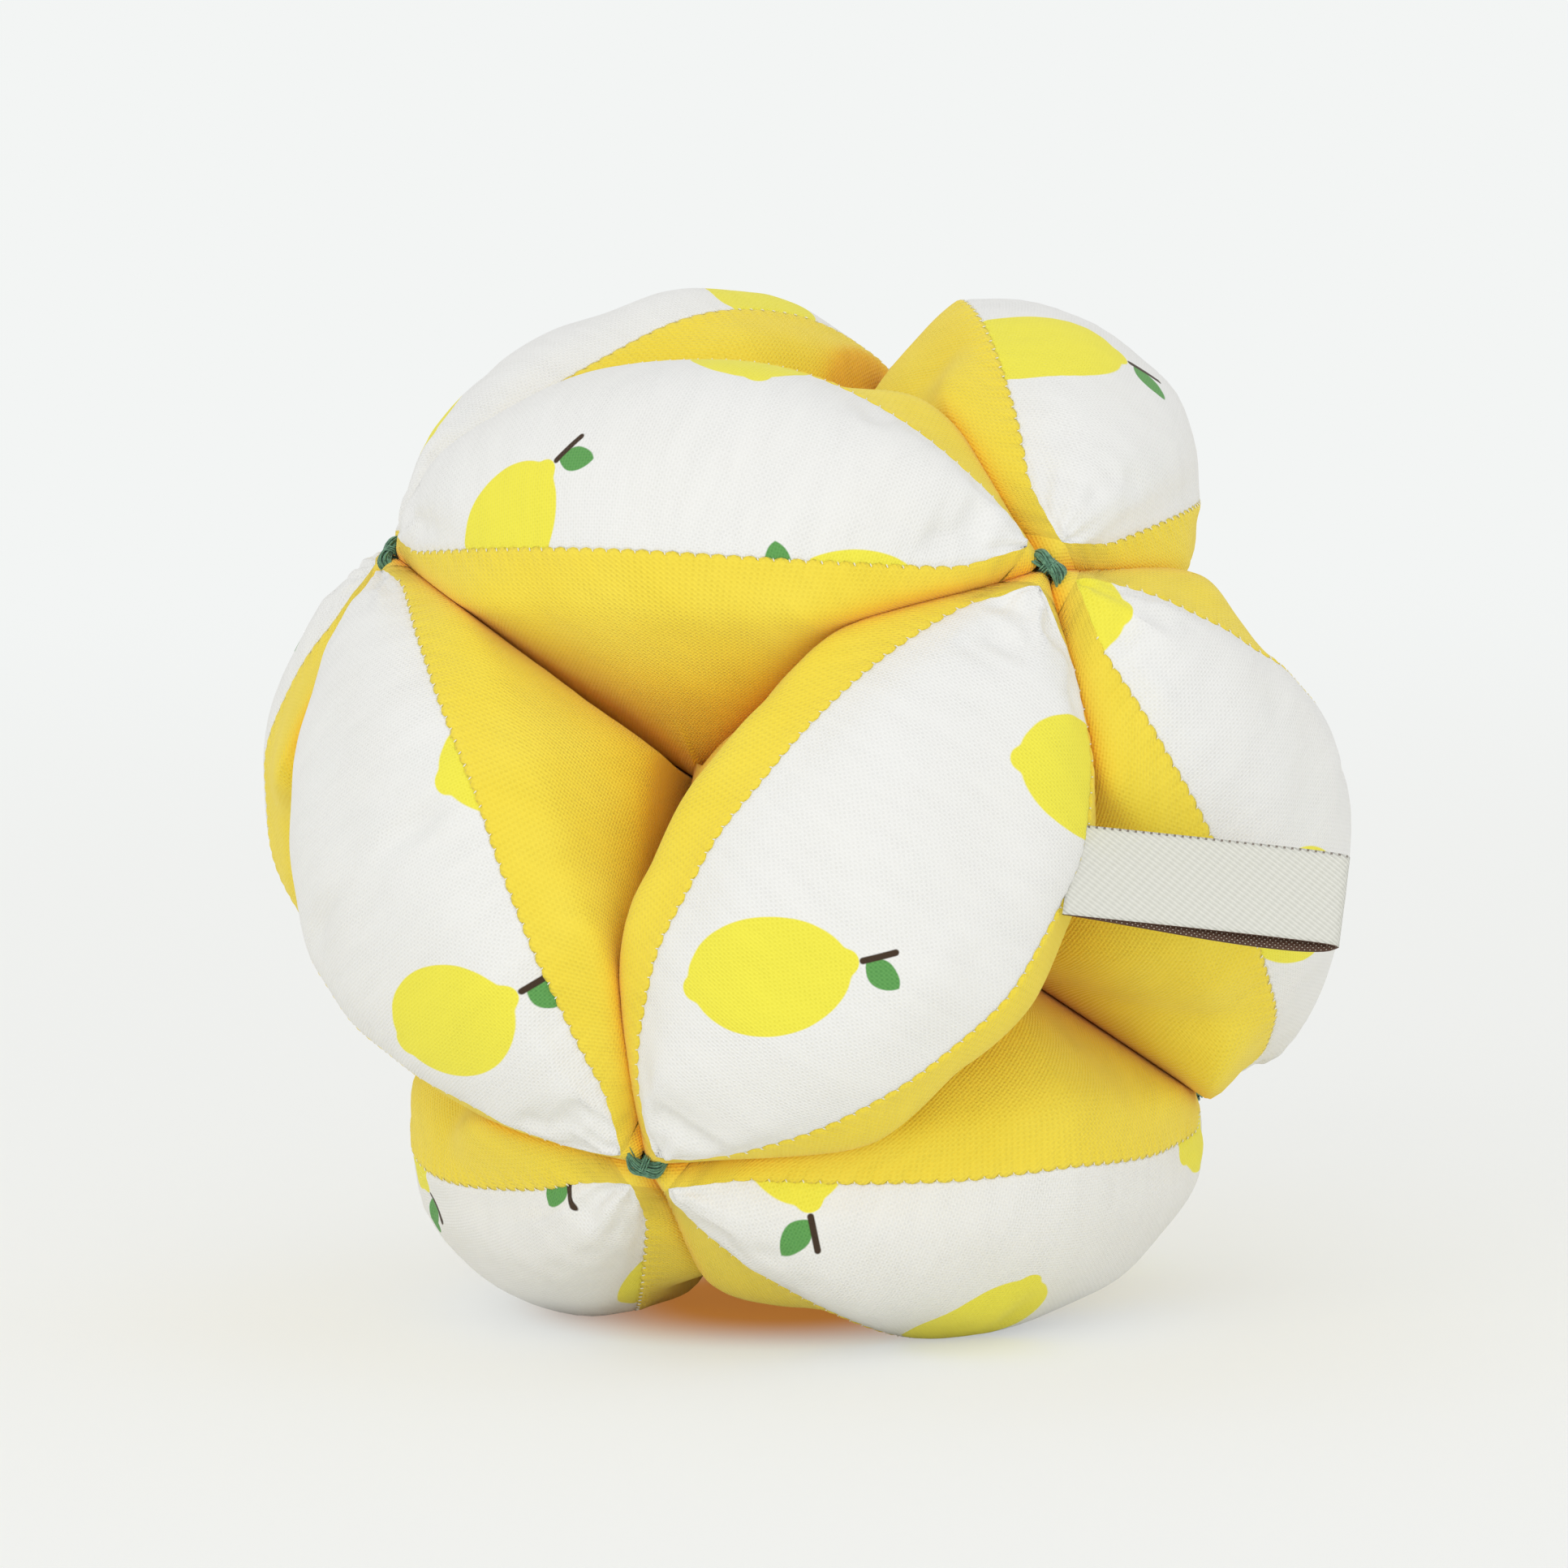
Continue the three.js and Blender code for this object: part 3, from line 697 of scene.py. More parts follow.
def gridObject(name, points, run, outward, lengthwise, shade=None):
    rows, columns = points.shape[:2]
    bm = bmesh.new()
    bmesh.ops.create_grid(bm, x_segments=columns - 1, y_segments=rows - 1, size=1.0)
    piece = addPiece(name, bm)
    mesh = piece.data
    spots = spotsOf(mesh)
    column = np.rint((spots[:, 0] + 1) / 2 * (columns - 1)).astype(int)
    row = np.rint((spots[:, 1] + 1) / 2 * (rows - 1)).astype(int)
    mesh.vertices.foreach_set("co", points[row, column].ravel())
    corners = cornersOf(mesh)
    cloth = pair(lengthwise[row, column][corners], run[row, column][corners])
    mesh.uv_layers.new(name="cloth").data.foreach_set("uv", cloth.ravel())
    # shade, kept as the fold attribute, is the painted warm crease shade
    if shade is not None:
        fold = mesh.attributes.new("fold", "FLOAT", "POINT")
        fold.data.foreach_set("value", shade[row, column])
    mesh.update()
    probe = mesh.polygons[len(mesh.polygons) // 2]
    wanted = normalsOf(points)[row[probe.vertices[0]], column[probe.vertices[0]]] * outward
    if probe.normal @ Vector(wanted) < 0:
        mesh.flip_normals()
    return piece


def lengthwiseOf(points, u):
    # cloth length along the wedge, the same all across it so that threads stay straight
    centre = points[:, points.shape[1] // 2]
    step = lengthOf(np.diff(centre, axis=0))
    run = np.concatenate([[0], np.cumsum(step)])
    run -= np.interp(0, u, run)
    return np.repeat(run[:, None], points.shape[1], axis=1)


def mergePoints(piece, near=0.002 * mm, closed=False):
    # closes the points where an end has no width, and the holes of a closed piece
    bm = bmesh.new()
    bm.from_mesh(piece.data)
    bmesh.ops.remove_doubles(bm, verts=bm.verts, dist=near)
    if closed:
        bmesh.ops.holes_fill(bm, edges=[edge for edge in bm.edges if edge.is_boundary], sides=0)
        bmesh.ops.recalc_face_normals(bm, faces=bm.faces)
    bm.to_mesh(piece.data)
    bm.free()


def giveThickness(piece, thick, offset=-1):
    wall = piece.modifiers.new("cloth", "SOLIDIFY")
    wall.thickness = thick
    wall.offset = offset
    return wall


def placeFruit(piece, name):
    # a second map, in which every face sees the print's nearest fruit at its origin
    mesh = piece.data
    frames = []
    for u, v, turn, alongShift, acrossShift, *size in wedges[name]["fruit"]:
        here = skin(name, np.array([u - 0.01, u, u + 0.01]), np.array([v * 0.98, v]))
        spot = here[1, 1]
        along = unit(here[2, 1] - here[0, 1])
        out = spot - middle - wedgeAxes(name)[0] * 36 * mm
        side = here[1, 1] - here[1, 0] if abs(v) > 0.02 else wedgeAxes(name)[2]
        normal = unit(np.cross(along, side))
        normal *= np.sign(normal @ out)
        beside = np.cross(normal, along)
        origin = spot + (along * alongShift + beside * acrossShift) * mm
        angle = math.radians(turn)
        ahead = along * math.cos(angle) + beside * math.sin(angle)
        ahead /= size[0] if size else 1.0
        frames.append((spot, origin, ahead, np.cross(normal, ahead)))
    spots = spotsOf(mesh)[cornersOf(mesh)]
    centres = spots.reshape(-1, 4, 3).mean(axis=1)
    far = np.stack([lengthOf(centres - frameOf[0]) for frameOf in frames])
    nearest = np.repeat(far.argmin(axis=0), 4)
    seen = np.zeros((len(spots), 2))
    for index, (_, origin, ahead, beside) in enumerate(frames):
        mine = nearest == index
        gap = spots[mine] - origin
        seen[mine] = pair(gap @ ahead, gap @ beside)
    mesh.uv_layers.new(name="print").data.foreach_set("uv", seen.ravel())


# Materials


def newMaterial(name):
    material = bpy.data.materials.new(name)
    material.use_nodes = True
    return material, material.node_tree


def srgb(*levels):
    # a colour as read from a picture, 0 to 255
    def straight(level):
        level /= 255
        return level / 12.92 if level <= 0.04045 else ((level + 0.055) / 1.055) ** 2.4
    return (*[straight(level) for level in levels], 1.0)


def mathNode(tree, operation, first, second=None, third=None, clamp=False):
    node = tree.nodes.new("ShaderNodeMath")
    node.operation = operation
    node.use_clamp = clamp
    for socket, value in zip(node.inputs, (first, second, third)):
        if value is None:
            continue
        if isinstance(value, (int, float)):
            socket.default_value = value
        else:
            tree.links.new(value, socket)
    return node.outputs[0]


def times(tree, first, second):
    return mathNode(tree, "MULTIPLY", first, second)


def minus(tree, first, second):
    return mathNode(tree, "SUBTRACT", first, second)


def toneNode(tree, value, gain, base):
    # a share between 0 and 1
    return mathNode(tree, "MULTIPLY_ADD", value, gain, base, clamp=True)


def waveNode(tree, place, period, kind="SINE"):
    return mathNode(tree, kind, times(tree, place, 2 * math.pi / period))


def spanNode(tree, x, y):
    # the length of the straight line across x and y
    return mathNode(tree, "SQRT", mathNode(tree, "ADD", times(tree, x, x), times(tree, y, y)))


def mixColour(tree, share, first, second):
    node = tree.nodes.new("ShaderNodeMix")
    node.data_type = "RGBA"
    for index, value in ((0, share), (6, first), (7, second)):
        if isinstance(value, (int, float, tuple)):
            node.inputs[index].default_value = value
        else:
            tree.links.new(value, node.inputs[index])
    return node.outputs[2]


def objectPlace(tree):
    return tree.nodes.new("ShaderNodeTexCoord").outputs["Object"]


def clothCoordinates(tree, mapName, turn=0.0):
    source = tree.nodes.new("ShaderNodeUVMap")
    source.uv_map = mapName
    turned = tree.nodes.new("ShaderNodeMapping")
    turned.inputs["Rotation"].default_value = (0, 0, math.radians(turn))
    tree.links.new(source.outputs[0], turned.inputs[0])
    apart = tree.nodes.new("ShaderNodeSeparateXYZ")
    tree.links.new(turned.outputs[0], apart.inputs[0])
    return turned.outputs[0], apart.outputs[0], apart.outputs[1]


def noiseNode(tree, place, scale, detail=2.0, stretch=(1, 1, 1)):
    drawn = tree.nodes.new("ShaderNodeMapping")
    drawn.inputs["Scale"].default_value = stretch
    tree.links.new(place, drawn.inputs[0])
    noise = tree.nodes.new("ShaderNodeTexNoise")
    noise.inputs["Scale"].default_value = scale
    noise.inputs["Detail"].default_value = detail
    tree.links.new(drawn.outputs[0], noise.inputs["Vector"])
    return noise.outputs[0]


def weave(tree, place, along, across, pitch):
    # plain weave: rows of threads both ways, that rise over and dip under each other
    chequer = times(tree, waveNode(tree, along, 2 * pitch), waveNode(tree, across, 2 * pitch))
    chequer = times(tree, chequer, 0.3)
    for way, part in ((along, 0.5), (across, 0.35)):
        rows = waveNode(tree, way, pitch, "COSINE")
        chequer = mathNode(tree, "MULTIPLY_ADD", rows, part, chequer)
    slubs = noiseNode(tree, place, 420, 2.0, (1, 0.25, 1))
    uneven = mathNode(tree, "MULTIPLY_ADD", slubs, 1.2, 0.4)
    return times(tree, chequer, uneven)


def finishMaterial(material, look, colour, height=None):
    tree = material.node_tree
    shader = tree.nodes["Principled BSDF"]
    tree.links.new(colour, shader.inputs["Base Color"])
    for name, value in look["finish"].items():
        shader.inputs[name].default_value = value
    if height is not None:
        bump = tree.nodes.new("ShaderNodeBump")
        bump.inputs["Strength"].default_value = 1.0
        bump.inputs["Distance"].default_value = look["bump"]
        tree.links.new(height, bump.inputs["Height"])
        tree.links.new(bump.outputs[0], shader.inputs["Normal"])
    return material


plainCotton = {
    "thread": 0.363 * mm,
    "colour": srgb(246, 224, 74),
    "deep": srgb(238, 208, 50),
    "light": srgb(251, 231, 92),
    # fold: the painted warm shade of creases, pits and tie valleys
    "fold": srgb(252, 190, 46),
    "turn": 45.0,
    "bump": 0.05 * mm,
    "finish": {"Roughness": 0.82, "Sheen Weight": 0.15, "Sheen Roughness": 0.5,
               "Specular IOR Level": 0.25},
}


def plainCottonMaterial():
    material, tree = newMaterial("plain_cotton")
    place, along, across = clothCoordinates(tree, "cloth", plainCotton["turn"])
    threads = weave(tree, place, along, across, plainCotton["thread"])
    cloudy = noiseNode(tree, place, 90, 3.0)
    tone = toneNode(tree, threads, 0.35, 0.5)
    colour = mixColour(tree, tone, plainCotton["deep"], plainCotton["colour"])
    colour = mixColour(tree, toneNode(tree, cloudy, 1.4, -0.5), colour, plainCotton["light"])
    colour = mixColour(tree, 0.3, colour, plainCotton["colour"])
    # painted warm shade: the fold attribute mixes the crease colour in where light would bounce
    # warmest
    fold = tree.nodes.new("ShaderNodeAttribute")
    fold.attribute_name = "fold"
    colour = mixColour(tree, fold.outputs["Fac"], colour, plainCotton["fold"])
    return finishMaterial(material, plainCotton, colour, threads)


printedCotton = {
    "thread": 0.34 * mm,
    "colour": srgb(243, 243, 241),
    "shade": srgb(232, 232, 229),
    "dusk": srgb(238, 236, 228),
    "lemon": srgb(247, 239, 84),
    "lemonDeep": srgb(238, 228, 66),
    "leaf": srgb(108, 172, 94),
    "leafDeep": srgb(84, 148, 76),
    "stem": srgb(66, 50, 36),
    "turn": 3.0,
    "bump": 0.035 * mm,
    "finish": {"Roughness": 0.85, "Sheen Weight": 0.1, "Specular IOR Level": 0.25},
    "edge": 0.14 * mm,
    "wander": 0.5 * mm,
    # the fruit, in millimetres from its middle, with its stem end along x
    "body": (8.7, 6.4),
    "nubs": [(-8.2, -0.8, 1.3), (8.2, 0.4, 1.4)],
    "stalk": ((10.0, 0.3), (13.4, 0.6), 0.36),
    "leafPlace": ((10.4, 0.3), (13.2, -3.2)),
    "leafWidth": 1.4,
}


def edgeMask(tree, distance):
    # 1 inside, where the distance is below 0, with a soft printed edge
    return toneNode(tree, distance, -1 / printedCotton["edge"], 0.5)


def discDistance(tree, x, y, disc):
    dx = minus(tree, x, disc[0] * mm)
    dy = minus(tree, y, disc[1] * mm)
    return minus(tree, spanNode(tree, dx, dy), disc[2] * mm)


def strokeDistance(tree, x, y, start, end, wide):
    # distance to a straight stroke of the print
    reach = math.hypot(end[0] - start[0], end[1] - start[1]) * mm
    turn = math.atan2(end[1] - start[1], end[0] - start[0])
    dx = minus(tree, x, start[0] * mm)
    dy = minus(tree, y, start[1] * mm)
    cos, sin = math.cos(turn), math.sin(turn)
    ahead = mathNode(tree, "ADD", times(tree, dx, cos), times(tree, dy, sin))
    beside = minus(tree, times(tree, dy, cos), times(tree, dx, sin))
    held = mathNode(tree, "MINIMUM", mathNode(tree, "MAXIMUM", ahead, 0.0), reach)
    past = minus(tree, ahead, held)
    return minus(tree, spanNode(tree, past, beside), wide * mm), ahead, beside


def printedCottonMaterial():
    material, tree = newMaterial("printed_cotton")
    place, along, across = clothCoordinates(tree, "cloth", printedCotton["turn"])
    threads = weave(tree, place, along, across, printedCotton["thread"])
    tone = toneNode(tree, threads, 0.4, 0.5)
    white = mixColour(tree, tone, printedCotton["shade"], printedCotton["colour"])
    dusk = toneNode(tree, noiseNode(tree, place, 55, 2.0), 0.5, -0.18)
    white = mixColour(tree, dusk, white, printedCotton["dusk"])

    # the edge of the print wanders a little with the threads
    spot, x, y = clothCoordinates(tree, "print")
    wander = noiseNode(tree, spot, 260, 1.0)
    wide = printedCotton["wander"]
    wander = mathNode(tree, "MULTIPLY_ADD", wander, wide, -wide / 2)
    x = mathNode(tree, "ADD", x, wander)
    long, short = printedCotton["body"]
    sx = mathNode(tree, "DIVIDE", x, long * mm)
    sy = mathNode(tree, "DIVIDE", y, short * mm)
    body = times(tree, minus(tree, spanNode(tree, sx, sy), 1.0), short * mm)
    for nub in printedCotton["nubs"]:
        disc = discDistance(tree, x, y, nub)
        body = mathNode(tree, "SMOOTH_MIN", body, disc, 0.7 * mm)
    lemon = edgeMask(tree, body)
    stem = edgeMask(tree, strokeDistance(tree, x, y, *printedCotton["stalk"])[0])
    # the leaf is what two discs share
    start, end = printedCotton["leafPlace"]
    _, ahead, beside = strokeDistance(tree, x, y, start, end, 0.1)
    half = math.hypot(end[0] - start[0], end[1] - start[1]) / 2
    wide = printedCotton["leafWidth"]
    bow = (half * half - wide * wide) / (2 * wide)
    centred = minus(tree, ahead, half * mm)
    discs = [discDistance(tree, centred, beside, (0, hand * bow, bow + wide)) for hand in (-1, 1)]
    leaf = edgeMask(tree, mathNode(tree, "MAXIMUM", *discs))
    inkTone = toneNode(tree, threads, 0.35, 0.45)
    ink = mixColour(tree, inkTone, printedCotton["lemonDeep"], printedCotton["lemon"])
    green = mixColour(tree, inkTone, printedCotton["leafDeep"], printedCotton["leaf"])
    colour = mixColour(tree, lemon, white, ink)
    colour = mixColour(tree, leaf, colour, green)
    colour = mixColour(tree, stem, colour, printedCotton["stem"])
    return finishMaterial(material, printedCotton, colour, threads)


stuffing = {
    "grain": (320, 6.0),
    "contrast": (1.0, 0.0),
    "deep": srgb(225, 225, 222),
    "light": srgb(250, 250, 248),
    "bump": 0.6 * mm,
    "finish": {"Roughness": 1.0},
    "tip": 0.82,
    "inset": 1.6 * mm,
}
sewingThread = {
    "grain": (3000, 2.0),
    "contrast": (1.0, 0.0),
    "deep": srgb(228, 224, 205),
    "light": srgb(250, 249, 240),
    "bump": 0.03 * mm,
    "finish": {"Roughness": 0.6},
}


def fibreMaterial(name, look):
    # loose or twisted fibres, light and dark with a fine grain
    material, tree = newMaterial(name)
    grain = noiseNode(tree, objectPlace(tree), *look["grain"])
    tone = toneNode(tree, grain, *look["contrast"])
    return finishMaterial(material, look, mixColour(tree, tone, look["deep"], look["light"]), grain)


plain = plainCottonMaterial()
printed = printedCottonMaterial()
fibre = fibreMaterial("fibre_filling", stuffing)
thread = fibreMaterial("sewing_thread", sewingThread)
print("cloth materials made")


# Wedges

seamLines = {}


def addCover(name, stations, phase):
    held = np.abs(stations) <= seams["tip"] + 1e-9
    u, phase = stations[held], phase[held]
    shares = np.array([-s for s in coverShares[:0:-1]] + coverShares)
    v = shares[None, :] * seamShare(u)[:, None]
    points, run, outward = panelGrid(name, "cover", u, phase, v, (-1, 1))
    run = run - run[:, [v.shape[1] // 2]]
    piece = gridObject(f"{name}_cover_cloth", points, run, outward, lengthwiseOf(points, u))
    placeFruit(piece, name)
    mergePoints(piece)
    piece.data.materials.append(printed)
    return piece


def addSide(name, stations, phase, hand, letter):
    u = stations
    start = seamShare(u)
    shares = np.array(sideShares)
    v = hand * np.maximum(start[:, None] + (3.0 - start[:, None]) * shares[None, :], 1e-9)
    points, run, outward = panelGrid(name, "side", u, phase, v, (hand,))
    seamLines[name, hand] = points[:, 0], phase
    # the open ends are sewn flat on the wedge's middle plane
    across = wedgeAxes(name)[2]
    ends = [points[row] - np.outer((points[row] - middle) @ across, across) for row in (0, -1)]
    points = np.concatenate([ends[0][None], points, ends[1][None]])
    run = np.concatenate([run[:1], run, run[-1:]])
    u = np.concatenate([[-1.02], u, [1.02]])
    piece = gridObject(f"{name}_side_{letter}_cloth", points, run, outward,
                       lengthwiseOf(points, u), paintedCreaseShade(name, points))
    mergePoints(piece)
    piece.data.materials.append(plain)
    return piece


stitchShape = {"long": 0.24 * mm, "thick": 0.075 * mm, "slant": 0.45, "above": 0.1 * mm}


def addStitches(name, stations):
    bm = bmesh.new()
    core = coreOf(name, stations)
    for hand in (-1, 1):
        line, phase = seamLines[name, hand]
        rows = [row for row in range(4, len(line) - 4)
                if abs(phase[row] - round(phase[row])) < 1e-6 and 2 < phase[row] < phase[-1] - 2]
        for row in rows:
            spot = Vector(line[row])
            ahead = (Vector(line[row + 1]) - Vector(line[row - 1])).normalized()
            out = Vector(unit(line[row] - core[row]))
            across = ahead.cross(out).normalized()
            slant = (across + ahead * stitchShape["slant"]).normalized()
            spot += out * stitchShape["above"]
            thick = stitchShape["thick"]
            sizes = (slant * stitchShape["long"], out.cross(slant) * thick, out * thick)
            turned = Matrix(sizes).transposed().to_4x4()
            bmesh.ops.create_uvsphere(bm, u_segments=6, v_segments=4, radius=1.0,
                                      matrix=Matrix.Translation(spot) @ turned)
    bmesh.ops.recalc_face_normals(bm, faces=bm.faces)
    return addPiece(f"{name}_stitches", bm, thread)


def addFilling(name):
    u = np.linspace(-stuffing["tip"], stuffing["tip"], 23)
    half = np.concatenate([np.linspace(0, 1, 6), np.linspace(1, 3, 12)[1:]])
    v = np.concatenate([half, -half[-2:0:-1]])
    points = skin(name, u, v[None, :])
    core = coreOf(name, u)
    away = points - core[:, None, :]
    size = lengthOf(away)[..., None]
    points = core[:, None, :] + away * np.clip(1 - stuffing["inset"] / size, 0.2, 1)
    closed = np.concatenate([points, points[:, :1]], axis=1)
    unmapped = np.zeros(closed.shape[:2])
    piece = gridObject(f"{name}_fibre", closed, unmapped, 1, unmapped)
    mergePoints(piece, 0.01 * mm, closed=True)
    piece.data.materials.append(fibre)
    return piece


for name in wedges:
    stations, phase = stationsOf(name)
    cover = addCover(name, stations, phase)
    sides = [addSide(name, stations, phase, 1, "a"), addSide(name, stations, phase, -1, "b")]
    filling = addFilling(name)
    stitches = addStitches(name, stations)
    for cloth in (cover, *sides):
        giveThickness(cloth, seams["cloth"])
    for piece, node, slot in (
        (cover, "cover", "printed_cotton"),
        (sides[0], "side_a", "plain_cotton"),
        (sides[1], "side_b", "plain_cotton"),
        (filling, "filling", "filling"),
    ):
        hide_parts(f"{name}_{node}")
        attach(piece, f"{name}_wedge")
    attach(stitches, f"{name}_wedge")
print("twelve wedges sewn")


# Floss ties

floss = {
    "strand": 0.085 * mm,
    "light": srgb(104, 158, 124),
    "deep": srgb(40, 88, 64),
    "grain": (2600, 3.0),
    "contrast": (2.6, -0.75),
    "bump": 0.05 * mm,
    "finish": {"Roughness": 0.5, "Sheen Weight": 0.3},
    "long": 4.3 * mm,
    "wide": 1.15 * mm,
    "high": 0.75 * mm,
    "lift": 0.75 * mm,
    "drop": 1.7 * mm,
    "strands": 54,
    "rings": (0.3, 0.65, 0.88, 1.0),
    "turnStep": 2.4,
    "twist": (0.8, 1.6),
    "waist": 0.72,
    "taper": 0.35,
    "bindings": 3,
    "bindingGap": 0.28 * mm,
    "bindingSlant": 0.3 * mm,
    "tail": 6,
    "stem": 2.6,
}
# which way each bundle lies, how far it bows to its side, and how far off the tie it sits
tieLies = {
    "right": ((0.75, 0.0, -0.7), 0.0, 0.0),
    "left": ((0.3, -0.4, -0.8), 0.3, 0.0),
    "front": ((1.0, 0.0, 0.0), 1.5, 0.7),
    "lower_left": ((0.2, 1.0, 0.3), 0.4, 0.0),
    "lower_right": ((0.3, 1.0, 0.5), 0.3, 0.0),
    "back": ((1.0, 0.0, 0.5), -0.5, 0.0),
}


def addStrand(bm, points, radius=floss["strand"]):
    line = bpy.data.curves.new("strand", "CURVE")
    line.dimensions = "3D"
    line.bevel_depth = radius
    line.bevel_resolution = 1
    line.use_fill_caps = True
    spline = line.splines.new("POLY")
    spline.points.add(len(points) - 1)
    for point, spot in zip(spline.points, points):
        point.co = (*spot, 1)
    holder = bpy.data.objects.new("strand", line)
    mesh = bpy.data.meshes.new_from_object(holder)
    bm.from_mesh(mesh)
    bpy.data.objects.remove(holder)
    bpy.data.curves.remove(line)
    bpy.data.meshes.remove(mesh)


def addTie(name, out):
    dice = random.Random(name)
    hint, bow, aside = tieLies[name]
    up = Vector(out)
    along = Vector(hint)
    along = (along - up * along.dot(up)).normalized()
    across = up.cross(along)
    foot = Vector(middle) + up * ball["tieRadius"] + across * aside * mm
    bm = bmesh.new()
    for index in range(floss["strands"]):
        # strands fill the bundle's section in rings
        ring = floss["rings"][index % 4]
        turn = index * floss["turnStep"] + dice.uniform(-0.3, 0.3)
        twist = dice.uniform(*floss["twist"])
        points = []
        for step in range(21):
            t = step / 20 * 2 - 1
            pinch = mix(floss["waist"], 1, min(1, abs(t) * 2.2)) - floss["taper"] * abs(t) ** 4
            spin = turn + twist * t
            spot = along * (floss["long"] / 2 * math.sin(t * 1.5) / math.sin(1.5))
            wide = math.cos(spin) * ring * floss["wide"] * pinch
            spot = spot + across * (wide + bow * (t * t - 0.4) * mm)
            lift = floss["lift"] - floss["drop"] * abs(t) ** 3.2
            spot = spot + up * (lift + math.sin(spin) * ring * floss["high"] * pinch)
            points.append(foot + spot)
        addStrand(bm, points)
    for index in range(floss["bindings"]):
        # a turn of floss binds the bundle and goes down between the tips
        points = []
        for step in range(19):
            turn = math.radians(-50 + step / 18 * 280)
            spot = across * (math.cos(turn) * floss["wide"] * 0.95)
            spot = spot + up * (floss["lift"] * 0.7 + math.sin(turn) * floss["high"])
            ahead = (index - 1) * floss["bindingGap"] + floss["bindingSlant"] * math.cos(turn)
            spot = spot + along * ahead
            points.append(foot + spot)
        addStrand(bm, points)
    for index in range(floss["tail"] if name == "front" else 0):
        # the cut end of the thread lies out from under the bundle
        points = []
        for step in range(9):
            t = step / 8
            spot = across * (0.6 + 1.9 * t + 0.1 * (index % 2))
            spot = spot + along * (0.12 * (index // 2) - 1.5 - 0.9 * t)
            points.append(foot + spot * mm + up * (0.3 + 0.5 * t * (1 - t) - 0.35 * t) * mm)
        addStrand(bm, points)
    for index in range(4):
        # the bundle is held by a stem that goes down between the wedges
        turn = index * math.pi / 2
        side = across * math.cos(turn) + along * math.sin(turn)
        points = [foot + side * 0.35 * mm + up * (0.4 * mm - step * 0.5 * mm) for step in range(10)]
        addStrand(bm, points, floss["strand"] * floss["stem"])
    bmesh.ops.remove_doubles(bm, verts=bm.verts, dist=0.001 * mm)
    bmesh.ops.recalc_face_normals(bm, faces=bm.faces)
    piece = addPiece(f"{name}_tie_floss", bm, flossLook)
    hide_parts(f"{name}_tie")
    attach(piece, "ties")


flossLook = fibreMaterial("floss", floss)
for name, out in ties.items():
    addTie(name, out)
print("floss ties wound")


# Ribbon label, folded and sewn into the front wedge's seam

label = {
    "angle": -15,
    "lift": 24,
    "turn": 10,
    "gap": -0.9 * mm,
    "length": 28.5 * mm,
    "width": 10.0 * mm,
    "ribbon": 0.26 * mm,
    "opening": 1.3 * mm,
    "drop": 1.0 * mm,
    "foldHalf": 0.45 * mm,
    "foldShare": 0.03,
    "rows": 16,
    "steps": 96,
}
satin = {
    "colour": srgb(226, 226, 217),
    "shade": srgb(205, 205, 195),
    "turn": 58.0,
    "dots": 0.8 * mm,
    "selvedge": 0.25 * mm,
    "bump": 0.03 * mm,
    "finish": {"Roughness": 0.45, "Sheen Weight": 0.15},
}
reverse = {
    "warp": srgb(82, 52, 34),
    "weft": srgb(214, 208, 190),
    "bump": 0.04 * mm,
    "finish": {"Roughness": 0.6},
}


def satinMaterial():
    material, tree = newMaterial("label_satin")
    _, along, across = clothCoordinates(tree, "cloth", satin["turn"])
    steep = waveNode(tree, along, 0.42 * mm)
    fine = waveNode(tree, across, 0.9 * mm)
    threads = mathNode(tree, "MULTIPLY_ADD", fine, 0.25, steep)
    tone = toneNode(tree, threads, 0.4, 0.55)
    colour = mixColour(tree, tone, satin["shade"], satin["colour"])
    # the brown warp shows as small dots along the upper selvedge
    _, lengthwise, widthwise = clothCoordinates(tree, "cloth")
    beat = mathNode(tree, "GREATER_THAN", waveNode(tree, lengthwise, satin["dots"]), 0.55)
    edge = mathNode(tree, "LESS_THAN", widthwise, satin["selvedge"] - label["width"] / 2)
    dots = times(tree, times(tree, beat, edge), 0.75)
    colour = mixColour(tree, dots, colour, reverse["warp"])
    return finishMaterial(material, satin, colour, threads)


def reverseMaterial():
    material, tree = newMaterial("label_reverse")
    _, along, across = clothCoordinates(tree, "cloth")
    cell = times(tree, waveNode(tree, along, 0.55 * mm), waveNode(tree, across, 0.5 * mm))
    floats = times(tree, mathNode(tree, "GREATER_THAN", cell, 0.72), 0.7)
    colour = mixColour(tree, floats, reverse["warp"], reverse["weft"])
    return finishMaterial(material, reverse, colour, cell)


def labelFrame():
    axes = wedgeAxes("front")
    place = math.radians(label["angle"]) / tipAngle
    near = skin("front", np.array([place - 0.02, place, place + 0.02]), np.array([[1.0]]))[:, 0]
    seamRun = Vector(unit(near[2] - near[0]))
    lift = math.radians(label["lift"])
    run = Vector(axes[0] * math.sin(lift) + axes[2] * math.cos(lift))
    run = (run - seamRun * run.dot(seamRun)).normalized()
    face = seamRun.cross(run)
    run.rotate(Matrix.Rotation(math.radians(label["turn"]), 3, face))
    return Vector(near[1]) + run * label["gap"], run, face, run.cross(face)


